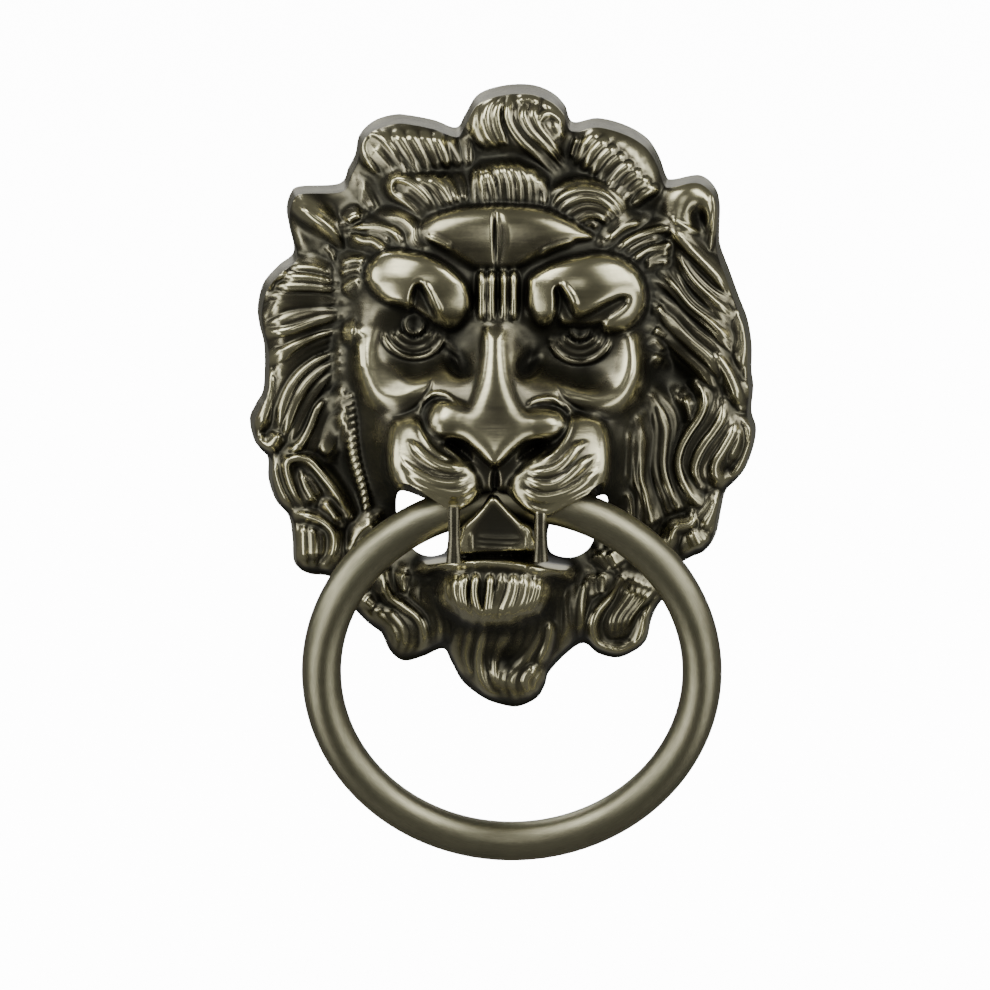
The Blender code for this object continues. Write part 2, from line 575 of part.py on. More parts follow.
def dome_nut(side, parts, cutters, material):
    """A hexagon nut with a closed dome, screwed on to the stud's end."""
    height = STUD_HEIGHTS[side]
    seat = DOOR_THICKNESS + WASHER_THICKNESS + FIT
    corner_diameter = NUT_ACROSS_FLATS / math.cos(math.radians(30))
    nut = rod("dome_nut_" + side, corner_diameter, (0, seat, height), (0, seat + NUT_HEIGHT, height), 6, parts, material)
    working = bmesh.new()
    bmesh.ops.create_uvsphere(working, u_segments=ROUND_SIDES, v_segments=DOME_RINGS, radius=1.0)
    half = NUT_ACROSS_FLATS / 2 - DOME_STEP
    stretch = Matrix.Diagonal((half, half, DOME_HEIGHT, 1.0))
    turn = Matrix.Rotation(math.radians(-90), 4, "X")
    move = Matrix.Translation(Vector((0, seat + NUT_HEIGHT - DOME_STEP, height)))
    bmesh.ops.transform(working, matrix=Matrix.Scale(MM, 4) @ move @ turn @ stretch, verts=working.verts)
    dome = as_cutter(add_object("dome_" + side, mesh_from(working, "dome_" + side), cutters))
    thread = rod("nut_hole_" + side, STUD_DIAMETER + 2 * FIT, (0, seat - OVERSHOOT, height),
                 (0, DOOR_THICKNESS + WASHER_THICKNESS + STUD_TAIL + FIT, height), ROUND_SIDES, cutters)
    add_boolean(nut, dome, "UNION")
    add_boolean(nut, as_cutter(thread), "DIFFERENCE")
    return nut


def main():
    parts, cutters = start_collections()
    bronze = metal("antique_bronze", (0.16, 0.14, 0.09), 0.35)
    ring_bronze = metal("brushed_bronze", (0.42, 0.38, 0.26), 0.3)
    zinc = metal("zinc_plate", (0.55, 0.56, 0.55), 0.4)
    head_casting(parts, cutters, bronze)
    knocker_ring(parts, ring_bronze)
    for side in STUD_HEIGHTS:
        stud(side, parts, zinc)
        washer(side, parts, cutters, zinc)
        dome_nut(side, parts, cutters, zinc)


main()
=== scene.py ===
"""Lion-head door knocker, finished: a carved bronze head, a brushed ring in its mouth and zinc fixings.

Sizes are in millimetres. The relief is drawn in u (across) and w (up) as the photograph shows it, from
a few degrees above the door's normal, with a depth in front of the door for every place.
"""

import math
from collections import namedtuple

import bmesh
import bpy
import numpy as np
from mathutils import Matrix, Vector


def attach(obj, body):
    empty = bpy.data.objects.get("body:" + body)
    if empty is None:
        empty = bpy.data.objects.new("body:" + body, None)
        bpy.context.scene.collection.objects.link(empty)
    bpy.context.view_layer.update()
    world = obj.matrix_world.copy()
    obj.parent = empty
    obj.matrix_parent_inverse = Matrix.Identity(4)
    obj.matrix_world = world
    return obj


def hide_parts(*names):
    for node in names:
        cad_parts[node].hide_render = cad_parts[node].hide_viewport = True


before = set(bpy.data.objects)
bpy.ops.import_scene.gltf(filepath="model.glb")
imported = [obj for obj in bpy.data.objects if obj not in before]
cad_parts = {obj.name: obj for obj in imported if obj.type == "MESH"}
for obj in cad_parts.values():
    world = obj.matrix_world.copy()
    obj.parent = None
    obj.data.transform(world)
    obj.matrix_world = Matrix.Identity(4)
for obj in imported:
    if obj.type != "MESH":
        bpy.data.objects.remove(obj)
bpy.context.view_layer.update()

MM = 0.001

# Head
EDGE_DRAFT = 1.0
RELIEF_DEPTH = 40.0
RIM_WIDTH = 4.0
WALL = 3.2
CORE_DEPTH = 22.0
MOUTH_CORE_DEPTH = 13.0
MOUTH_MIDDLE = -22.0
MOUTH_REACH = 24.0
CORE_DRAFT = 0.6
LEAST_HOLLOW = 1.0
DRAWING_TILT = 9.0
TILT_SIN = math.sin(math.radians(DRAWING_TILT))
TILT_COS = math.cos(math.radians(DRAWING_TILT))

# Ring
RING_RADIUS = 41.1
CAD_ROD_RADIUS = 4.4
ROD_RADIUS = 4.28
RING_OFFSET = 1.9
RING_HEIGHT = -18.6
RING_LEAN = 17.0
RING_LIFT = 100.0
RING_CLEARANCE = 0.6
CHANNEL_REACH = 27.0
MOUTH_DEPTH = CAD_ROD_RADIUS + 0.3 + 2 * RING_RADIUS * math.sin(math.radians(RING_LEAN))

# Teeth that hold the ring
FANG_DIAMETER = 3.4
FANG_PLACES = (-10.5, 8.0)
FANG_TOP = -18.4
FANG_FOOT = -30.5
FANG_PROFILE = ((0.0, 1.0), (0.12, 0.92), (0.3, 0.8), (0.5, 0.76), (0.7, 0.78), (0.85, 0.78), (1.0, 0.7))

# Fixings
DOOR_THICKNESS = 44.0
STUD_DIAMETER = 6.0
STUD_HEIGHTS = (34.0, -54.0)
STUD_ENGAGEMENT = 10.0
STUD_TAIL = 5.0
THREAD_PITCH = 1.0
THREAD_DEPTH = 0.55
THREAD_ROWS = 6
BOSS_DIAMETER = 13.0
BOSS_COVER = 2.4
BOSS_SIGHT_DEPTH = 14.0
WASHER_DIAMETER = 18.0
WASHER_THICKNESS = 1.6
NUT_ACROSS_FLATS = 10.0
NUT_HEIGHT = 5.0
NUT_ROUND = 4.8
DOME_HEIGHT = 5.5
DOME_STEP = 0.3
FIT = 0.3
OVERSHOOT = 1.0
HOLE_OVERSHOOT = 5.0

# Fineness
FRONT_RINGS = 200
BACK_RINGS = 50
RING_STEPS = 240
ROD_SIDES = 48
ROUND_SIDES = 32
WASHER_SIDES = 64
NUT_SIDES = 96
DOME_RINGS = 14
CHANNEL_SIDES = 48
CHANNEL_STATIONS = 40
PRISM_STEPS = 4
HEAD_SHARP = 50.0

# Wear and patina, with painted shade on the eyes and the mouth's wall and a painted sheen on the skirt
FINE_BLUR = 0.9
BROAD_BLUR = 3.5
FINE_GAIN = 0.8
BROAD_GAIN = 0.12
MOTTLE_SHARE = 0.25
BRUSH_SHARE = 0.18
SCRATCH_SHARE = 0.6
FRONT_TOLERANCE = 0.4
# painted sheen: the skirt's fixed, lighter colour value
SKIRT_PAINTED_SHEEN = 0.66
INSIDE_RAISED = 0.5
FANG_RAISED = 0.5
# painted shade: how much the colour is darkened over each eye, so it reads as a dark opening
EYE_PAINTED_SHADE = 0.5
# painted shade: how much the colour is darkened on the wall inside the mouth
MOUTH_WALL_PAINTED_SHADE = 0.3
HEAD_COLOURS = ((0.05, (0.04, 0.039, 0.031)), (0.42, (0.1, 0.095, 0.069)), (0.55, (0.17, 0.157, 0.111)),
                (0.7, (0.34, 0.32, 0.212)), (0.95, (0.6, 0.565, 0.372)))
HEAD_ROUGHNESS = ((0.0, (0.48, 0.48, 0.48)), (0.5, (0.27, 0.27, 0.27)), (1.0, (0.22, 0.22, 0.22)))
RING_COLOURS = ((0.3, (0.18, 0.172, 0.12)), (0.7, (0.42, 0.398, 0.275)))
RING_ROUGHNESS = ((0.3, (0.38, 0.38, 0.38)), (0.7, (0.29, 0.29, 0.29)))
ZINC_COLOURS = ((0.3, (0.5, 0.51, 0.52)), (0.7, (0.66, 0.67, 0.68)))
ZINC_ROUGHNESS = ((0.3, (0.4, 0.4, 0.4)), (0.7, (0.26, 0.26, 0.26)))

# Stage
FLOOR_HALF = 12.0
FLOOR_HEIGHT = -0.16
HEAD_MIDDLE = (0.0, -0.02, -0.01)
WHITE_STRENGTH = 16.0
REFLECTED_GREY = (0.14, 0.138, 0.126)
SOFT_BOXES = (
    ("key", (-0.55, -0.55, 0.65), (0.5, 0.7), 6.2, (1.0, 1.0, 0.97)),
    ("right", (0.65, -0.5, 0.5), (0.4, 0.7), 4.2, (1.0, 1.0, 0.97)),
    ("front", (0.0, -1.1, 0.25), (0.35, 0.35), 0.6, (1.0, 1.0, 0.97)),
    ("left side", (-1.0, -0.2, 0.2), (0.5, 0.6), 3.0, (1.0, 1.0, 0.97)),
    ("right side", (1.0, -0.2, 0.2), (0.5, 0.6), 2.4, (1.0, 1.0, 0.97)),
    ("low left", (-0.75, -0.5, -0.4), (0.35, 0.9), 3.2, (1.0, 1.0, 0.97)),
    ("low right", (0.75, -0.5, -0.4), (0.35, 0.9), 2.2, (1.0, 1.0, 0.97)),
    ("rear", (-0.5, 0.9, 0.9), (0.5, 0.5), 4.0, (1.0, 1.0, 1.0)),
    ("rim", (0.0, 1.6, 0.45), (1.8, 0.6), 2.2, (1.0, 1.0, 1.0)),
)
PICTURE = 990
PLATE_COLUMN = 503
PLATE_ROW = 395
PIXEL = 110.0 / 510.0
CAMERA_DEPTH = 15.0
CAMERA_DISTANCE = 3.0

MOUTH_HOLES = (
    ((-23.0, -25.5), (-22.6, -21.0), (-19.5, -21.2), (-14.0, -24.0), (-12.1, -27.0), (-12.1, -33.0),
     (-14.0, -34.5), (-16.8, -34.6), (-19.4, -33.2), (-21.8, -30.0)),
    ((22.4, -24.0), (22.0, -21.6), (19.0, -22.4), (13.5, -25.0), (10.0, -28.0), (9.8, -32.8), (11.4, -34.5),
     (14.6, -35.0), (17.4, -34.0), (19.4, -31.6)),
)

EDGE_DEPTH = 8.0  # skirt round the outline, from the door to the relief
EDGE_SHARPNESS = 30  # how tightly the relief rounds over at its edge
GROUND_SLACK = 2.0  # how loosely the ground follows its spot depths
EYE_DEPTH = 21.6
PUPIL_DEPTH = 1.8
PUPIL_RADIUS = 1.9
EYE_RING_START = 190
EYE_RING_END = 350
EYE_RING_POINTS = 17
EYE_RING_HALF_WIDTH = 0.95
EYE_RING_HEIGHT = 1.3
BLEND = 1.2  # how softly neighbouring forms run together
OUTER_FALL = 8.0  # how fast a form drops away outside its own edge
GROUND_SOFTENING = 0.9
FORM_SOFTENING = 0.35
LIFT_FALL = 1.6  # how far a lock's side takes to fall to the ground
HAIRLINE = 0.6  # softness of the edge between hair and skin
TIP_SHARE = 0.24  # share of a ridge's length over which it tapers to a point
STRAND_SHARE = 0.54  # half width of a strand, as a share of the step to the next
STRAND_VARIETY = 0.17  # how unevenly the strands of a lock stand out
STRAND_RHYTHM = 2.3  # turn of that unevenness from strand to strand
PAD_SOFTENING = 0.9
RELIEF_SOFTENING = 0.2
RASTER_STEP = 0.2
RASTER_HALF_WIDTH = 57.0
RASTER_HALF_HEIGHT = 70.0
GROUND_SKIP = 5
PAD_BORDER = 12
OUTLINE_SCALE = 0.9975

OUTLINE = (
    (-15.0, 59.6), (-10.2, 58.0), (-8.2, 60.8), (-5.4, 65.1), (0.0, 67.0), (6.0, 67.2), (10.5, 65.6),
    (13.4, 62.8), (15.1, 59.2), (20.5, 60.0), (26.5, 58.5), (31.2, 55.7), (33.8, 51.8), (35.4, 47.5),
    (36.8, 46.8),
    (42.5, 47.7), (45.8, 45.3), (47.0, 41.5), (46.9, 35.5), (47.2, 32.3), (49.2, 27.0), (51.2, 21.5),
    (53.1, 16.5), (54.0, 11.0), (54.0, 5.5), (54.4, 2.0), (54.0, -3.2), (55.0, -7.0), (54.3, -11.5),
    (52.2, -16.5), (48.6, -20.4), (47.5, -24.5), (46.5, -29.5), (44.6, -33.0), (41.5, -34.5), (39.2, -36.2),
    (38.6, -40.0), (34.2, -45.0),
    (32.4, -48.5), (31.2, -53.2), (28.3, -55.5), (25.0, -56.6), (21.0, -55.7), (17.8, -53.5), (14.2, -55.6),
    (10.2, -59.8), (9.2, -62.8), (7.4, -65.5), (3.5, -67.3), (0.0, -67.0), (-4.2, -65.5), (-8.8, -62.0),
    (-11.3, -57.8), (-13.2, -54.7), (-17.5, -56.3), (-21.7, -57.3), (-24.6, -55.5), (-26.6, -51.5),
    (-30.0, -48.8),
    (-33.5, -45.0), (-35.6, -41.0), (-38.5, -38.7), (-42.8, -38.1), (-45.4, -36.2), (-45.8, -31.0),
    (-46.6, -26.2), (-49.4, -22.7), (-51.0, -18.0), (-51.2, -13.2), (-53.9, -10.0), (-55.0, -5.0),
    (-53.6, -1.6), (-52.0, 1.8), (-51.8, 10.5), (-52.9, 15.5), (-53.2, 19.5), (-51.9, 24.5), (-48.6, 28.3),
    (-45.4, 31.2), (-46.3, 36.5), (-46.9, 40.5), (-46.0, 43.8), (-44.0, 45.3), (-35.5, 45.9), (-33.5, 49.3),
    (-32.0, 52.3), (-31.0, 56.5), (-27.4, 59.7), (-21.5, 60.9),
)

Form = namedtuple("Form", "u w half_long half_short turn foot peak fullness")

MANE_FORMS = (
    Form(3.3, 57.8, 12.0, 8.6, -12, 9.0, 15.2, 3),  # crown curl
    Form(-20.5, 52.8, 11.2, 6.6, -5, 9.0, 14.5, 3),  # upper curl, left
    Form(25.0, 50.3, 11.5, 7.4, -40, 9.0, 14.5, 3),  # upper curl, right
    Form(-16.0, 43.0, 10.5, 5.0, -22, 12.0, 18.0, 3),  # second curl, left
    Form(18.3, 40.5, 9.5, 6.0, -5, 12.0, 18.0, 3),  # second curl, right
    Form(1.0, 45.5, 8.5, 5.0, 0, 13.0, 19.0, 3),  # forelock
    Form(-40.0, 38.5, 8.5, 3.0, -38, 9.0, 15.0, 3),  # upper rim of the left ear
    Form(-41.0, 32.5, 7.0, 4.5, -45, 8.5, 11.5, 2),  # lower leaf of the left ear
    Form(40.5, 40.5, 7.0, 7.4, 0, 8.5, 14.5, 3),  # right ear
)

FACE_FORMS = (
    Form(-1.8, -41.8, 12.3, 8.0, 0, 20.0, 35.8, 4.0),  # chin
)

# A pad with a drawn outline: its top passes a depth at (u, w), slopes across and up, falls by a dome
# towards the half sizes across and up, and its edge rounds down by a drop over a width
Pad = namedtuple("Pad", "outline u w top rise_u rise_w half_u half_w dome drop width")

# Floors of the notches in the brows
NOTCH_PADS = (
    Pad(((-20.6, 19.0), (-19.6, 23.6), (-17.6, 24.8), (-15.0, 21.6), (-12.8, 17.6), (-13.6, 14.8),
        (-16.6, 16.4)), -17.0, 20.0, 26.4, 0.0, 0.05, 6.0, 6.0, 0.6, 1.4, 1.6),
    Pad(((10.6, 22.6), (12.6, 24.0), (15.6, 19.4), (20.0, 20.4), (26.4, 21.8), (27.8, 19.4), (22.0, 15.4),
        (15.6, 14.6), (11.4, 16.0)), 17.0, 19.0, 26.4, 0.0, 0.05, 9.0, 6.0, 0.8, 1.4, 1.6),
)
BROW_PADS = (
    # forehead
    Pad(((-18.4, 33.0), (-17.8, 36.2), (-14.4, 38.6), (-8.0, 40.2), (0.0, 40.7), (8.0, 40.0), (13.2, 38.0),
        (17.2, 35.6), (19.4, 33.6), (14.4, 32.2), (10.2, 30.4), (6.6, 28.5), (3.6, 26.9), (1.0, 26.3),
        (-2.4, 26.3), (-4.4, 26.3), (-7.2, 26.9), (-10.6, 28.7), (-14.4, 30.9)),
        -1.0, 33.0, 26.0, 0.0, -0.08, 19.0, 10.5, 3.0, 2.6, 4.0),
    # left brow
    Pad(((-27.6, 29.6), (-24.0, 31.0), (-19.9, 30.7), (-15.5, 29.6), (-11.5, 27.4), (-8.3, 24.3),
        (-6.8, 20.6), (-7.3, 17.2), (-9.4, 14.6), (-11.6, 13.8), (-13.6, 15.2), (-15.2, 18.2),
        (-16.6, 21.2), (-17.9, 23.3), (-18.9, 22.5), (-19.4, 20.4), (-19.9, 18.2), (-21.6, 18.8),
        (-24.4, 19.6), (-27.0, 21.2), (-29.2, 24.3), (-29.2, 27.5)),
        -17.6, 23.4, 30.4, 0.06, -0.04, 11.5, 8.5, 4.0, 2.0, 1.8),
    # right brow
    Pad(((5.2, 24.6), (6.8, 26.4), (11.0, 28.4), (16.0, 29.6), (21.0, 30.3), (25.5, 29.3), (28.8, 26.8),
        (30.6, 23.0), (30.6, 19.0), (28.8, 15.4), (25.6, 13.0), (22.6, 13.0), (21.0, 14.5), (22.4, 16.3),
        (25.4, 18.5), (26.6, 20.2), (25.6, 20.7), (22.6, 19.5), (19.2, 17.5), (16.6, 16.4), (15.3, 16.8),
        (13.9, 19.4), (12.2, 22.8), (11.4, 22.2), (11.6, 19.0), (11.2, 16.2), (9.6, 14.7), (7.6, 14.8),
        (5.8, 17.0), (4.9, 21.0)), 17.0, 22.6, 30.4, -0.06, -0.04, 12.5, 8.5, 4.0, 2.0, 1.8),
)
FACE_PADS = (
    # tip and wings of the nose
    Pad(((-6.6, -2.0), (-9.4, -1.2), (-12.4, -0.8), (-15.0, -2.2), (-16.4, -5.2), (-15.8, -8.2),
        (-13.6, -9.8), (-10.4, -9.9), (-7.4, -11.2), (-4.8, -13.6), (-1.8, -15.9), (1.0, -13.8),
        (3.6, -11.6), (6.4, -10.2), (9.4, -9.9), (12.2, -9.2), (13.9, -6.9), (13.0, -4.4), (10.2, -3.0),
        (6.6, -3.1), (3.2, -2.8), (-1.8, -2.0)), -1.8, -8.6, 36.9, 0.0, -0.2, 14.0, 14.0, 1.8, 3.6, 4.2),
    # bridge of the nose
    Pad(((-3.9, 14.6), (-4.6, 8.0), (-5.4, 3.0), (-7.2, -1.5), (-9.8, -5.0), (-9.6, -8.6), (-5.8, -12.2),
        (-1.8, -15.4), (2.2, -12.2), (6.0, -8.6), (6.2, -5.0), (3.6, -1.5), (1.7, 3.0), (0.9, 8.0),
        (0.2, 14.6)), -1.8, 0.0, 34.3, 0.0, -0.4, 9.0, 20.0, 1.6, 2.3, 3.8),
    # muzzle, left
    Pad(((-23.4, -5.8), (-24.7, -11.4), (-24.4, -16.5), (-22.6, -20.0), (-17.4, -22.4), (-13.9, -24.2),
        (-11.4, -25.6), (-8.4, -25.0), (-5.7, -23.0), (-4.8, -20.6), (-5.2, -17.4), (-7.4, -14.6),
        (-10.6, -13.4), (-14.0, -11.6), (-16.4, -8.6), (-18.2, -5.0), (-20.8, -4.8)),
        -12.0, -17.5, 38.2, 0.0, -0.02, 12.0, 10.0, 3.4, 2.4, 2.4),
    # muzzle, right
    Pad(((20.2, -4.0), (22.4, -7.6), (23.1, -12.5), (22.8, -17.0), (21.6, -20.3), (17.5, -22.9),
        (13.4, -24.8), (9.6, -26.8), (6.6, -26.2), (3.3, -24.1), (1.2, -21.0), (1.4, -18.2), (4.2, -15.0),
        (7.0, -13.6), (10.6, -11.8), (13.0, -8.2), (14.4, -4.4), (17.4, -3.4)),
        9.6, -18.0, 38.2, 0.0, -0.02, 12.0, 10.0, 3.4, 2.4, 2.4),
)
MOUTH_WALL = (
    # wall of the mouth between the teeth
    Pad(((-9.3, -34.5), (-9.3, -29.0), (-8.6, -27.6), (-6.4, -25.8), (-4.4, -23.6), (-2.9, -21.9),
        (-1.7, -21.7), (-0.4, -22.6), (1.6, -24.8), (4.0, -27.0), (6.4, -28.4), (7.0, -30.0), (7.0, -34.5)),
        1.9, -28.0, 35.5, 0.0, 0.06, 9.0, 6.0, -0.6, 0.4, 0.5),
)


def brow_fold(u):
    """One of the upright folds between the brows."""
    outline = ((u - 1.0, 25.4), (u, 26.7), (u + 1.0, 25.4), (u + 1.0, 21.0), (u + 1.0, 17.2), (u, 15.9),
               (u - 1.0, 17.2), (u - 1.0, 21.0))
    return Pad(outline, u, 21.0, 27.4, 0.0, 0.0, 1.1, 6.0, 0.8, 1.6, 0.7)


FOLD_PLACES = (-4.6, -2.4, 0.1, 2.3)
PADS = NOTCH_PADS + BROW_PADS + FACE_PADS + MOUTH_WALL + tuple(brow_fold(u) for u in FOLD_PLACES)

# Depths of the ground under the forms: rows at a height t, with depths at distances s to each side of the
# face's middle line
FACE_MIDDLE = -1.2
FACE_SHEAR = 0.05
FACE_ROWS = (
    (46, ((0, 15), (10, 14.5), (20, 12.5), (28, 11.5))),
    (40, ((0, 20), (8, 19.5), (16, 17), (24, 13.5), (32, 11.5))),
    (36, ((0, 22.5), (8, 22), (16, 20), (22, 17.5), (28, 14), (35, 12))),
    (32, ((0, 23.6), (8, 23.4), (15, 22.4), (22, 19.5), (30, 14.5), (36, 12))),
    (28, ((0, 22.8), (6, 23), (12, 24), (20, 24), (27, 19.5), (33, 13.5))),
    (24, ((0, 23.2), (4, 23.4), (8, 26), (13, 26.4), (20, 26.6), (26, 23), (31, 17), (35, 13))),
    (20, ((0, 23), (4, 23.4), (9, 26.6), (13, 26), (17, 24.5), (21, 25.6), (26, 22.8), (30, 19), (35, 13))),
    (16.5, ((0, 25.6), (4, 24.4), (9, 25), (13, 23.5), (18, 22.5), (24, 23), (29, 20.5), (34, 13.5))),
    (13, ((0, 27.4), (3, 26.4), (6, 22.8), (10, 21.5), (14, 21.5), (18, 21.5), (22, 21.8), (26, 22.6),
     (29, 21), (33, 14))),
    (8, ((0, 29.5), (2.5, 29), (5, 26.6), (8, 23.5), (13, 22), (18, 20.8), (23, 22), (26, 23.8), (30, 21),
     (34, 13))),
    (4, ((0, 31), (3, 30.6), (6, 28.8), (10, 27.2), (15, 25.8), (19, 24.4), (23, 25.4), (27, 24), (31, 19),
     (35, 12.5))),
    (1, ((0, 32.2), (4, 31.8), (8, 30.4), (13, 29), (19, 27.6), (24, 26), (28, 23), (32, 16.5))),
    (-3, ((0, 33.8), (5, 33.2), (9, 32.2), (13, 30.6), (17, 28.4), (22, 26.4), (27, 23), (31, 17),
     (35, 12.5))),
    (-6, ((0, 35.2), (5, 34.4), (10, 32.5), (14, 30.5), (18, 29.6), (22, 28), (26, 23.5), (30, 17))),
    (-10, ((0, 36.4), (4, 35.4), (8, 32.5), (12, 33.2), (16, 34.5), (20, 32.5), (24, 27.5), (28, 20),
     (33, 13))),
    (-14, ((0, 35.6), (3, 35.2), (7, 34.8), (12, 36.8), (17, 36.4), (21, 32.5), (24.5, 25), (28, 18))),
    (-18, ((0, 34.4), (3, 34.8), (7, 36.4), (12, 37.6), (17, 35.4), (21, 30), (24, 23), (28, 16.5),
     (33, 12.5))),
    (-22, ((0, 32), (4, 33.5), (8, 36), (12, 36), (16, 32.5), (20, 25), (24, 18), (28, 14.5))),
    (-25.5, ((0, 23), (4, 29), (8, 31), (12, 29), (16, 22), (20, 16), (27, 13))),
    (-30, ((0, 19), (6, 19), (12, 16.5), (18, 14), (26, 13), (33, 12))),
    (-36, ((0, 27), (8, 26), (14, 20), (20, 14), (28, 12.5))),
    (-41, ((0, 34), (7, 32.5), (12, 25), (16, 18), (22, 14), (30, 12))),
    (-46, ((0, 30), (7, 28), (11, 22.5), (16, 16), (22, 13))),
    (-49.5, ((0, 24), (8, 21), (14, 15.5), (20, 12.5))),
    (-54, ((0, 19), (7, 17), (12, 13.5))),
    (-60, ((0, 15.5), (6, 13.5))),
)
RIM_TURNS = 24
RIM_SHARES = ((0.86, 11.5), (1.0, 10.0), (1.2, 9.0))

# A soft roll: its spine as (u, w, half width, peak) points, its foot and how full its section is
Roll = namedtuple("Roll", "spine foot fullness")
ROLLS = (
    # cheeks, from beside the eye round under it
    Roll(((-28.8, 12.0, 2.2, 22.5), (-28.4, 6.0, 3.2, 24.6), (-26.4, 0.5, 3.8, 26.4),
        (-22.4, -1.0, 3.7, 28.2), (-18.4, 0.8, 3.0, 28.8), (-16.0, 2.4, 2.0, 28.2)), 20.0, 2),
    Roll(((27.2, 11.5, 2.4, 23.5), (27.2, 5.5, 3.4, 25.6), (25.0, 0.2, 3.9, 27.2), (20.4, -1.8, 3.8, 28.8),
          (16.0, -0.6, 3.0, 29.0), (12.4, 1.2, 2.0, 28.4)), 20.0, 2),
    # lower lip
    Roll(((-17.4, -37.3, 0.7, 36.0), (-12.0, -36.2, 1.1, 39.0), (-6.0, -35.5, 1.2, 39.5),
        (0.0, -35.7, 1.2, 39.5), (6.0, -36.6, 1.2, 39.2), (10.0, -37.6, 1.1, 38.4),
        (14.4, -38.3, 0.7, 36.0)), 24.0, 2.5),
    # twisted lock along the left cheek
    Roll(((-34.2, 13.0, 1.8, 15.5), (-33.8, -0.6, 2.2, 16.5), (-33.0, -6.0, 2.3, 17.0),
        (-32.6, -10.0, 2.3, 17.0), (-32.0, -14.0, 2.1, 16.5), (-30.9, -18.0, 1.9, 16.0),
        (-29.8, -22.0, 1.6, 15.0), (-29.2, -25.0, 1.3, 14.0)), 11.0, 2),
)

# A bowl sunk into the forms
Bowl = namedtuple("Bowl", "u w half_long half_short turn floor rim")
BOWLS = (
    Bowl(42.4, 37.4, 3.4, 1.6, -80, 9.5, 13.0),  # right ear
    Bowl(-10.2, 8.0, 3.6, 1.9, -56, 20.0, 25.0),  # pocket beside the nose, left
    Bowl(6.2, 8.0, 3.6, 1.9, 60, 20.0, 25.0),  # pocket beside the nose, right
)

# A ridge of hair or skin: points, half width and height
Ridge = namedtuple("Ridge", "points half_width height lift")
# A group of ridges between two drawn edges
Fan = namedtuple("Fan", "first last count height lift")

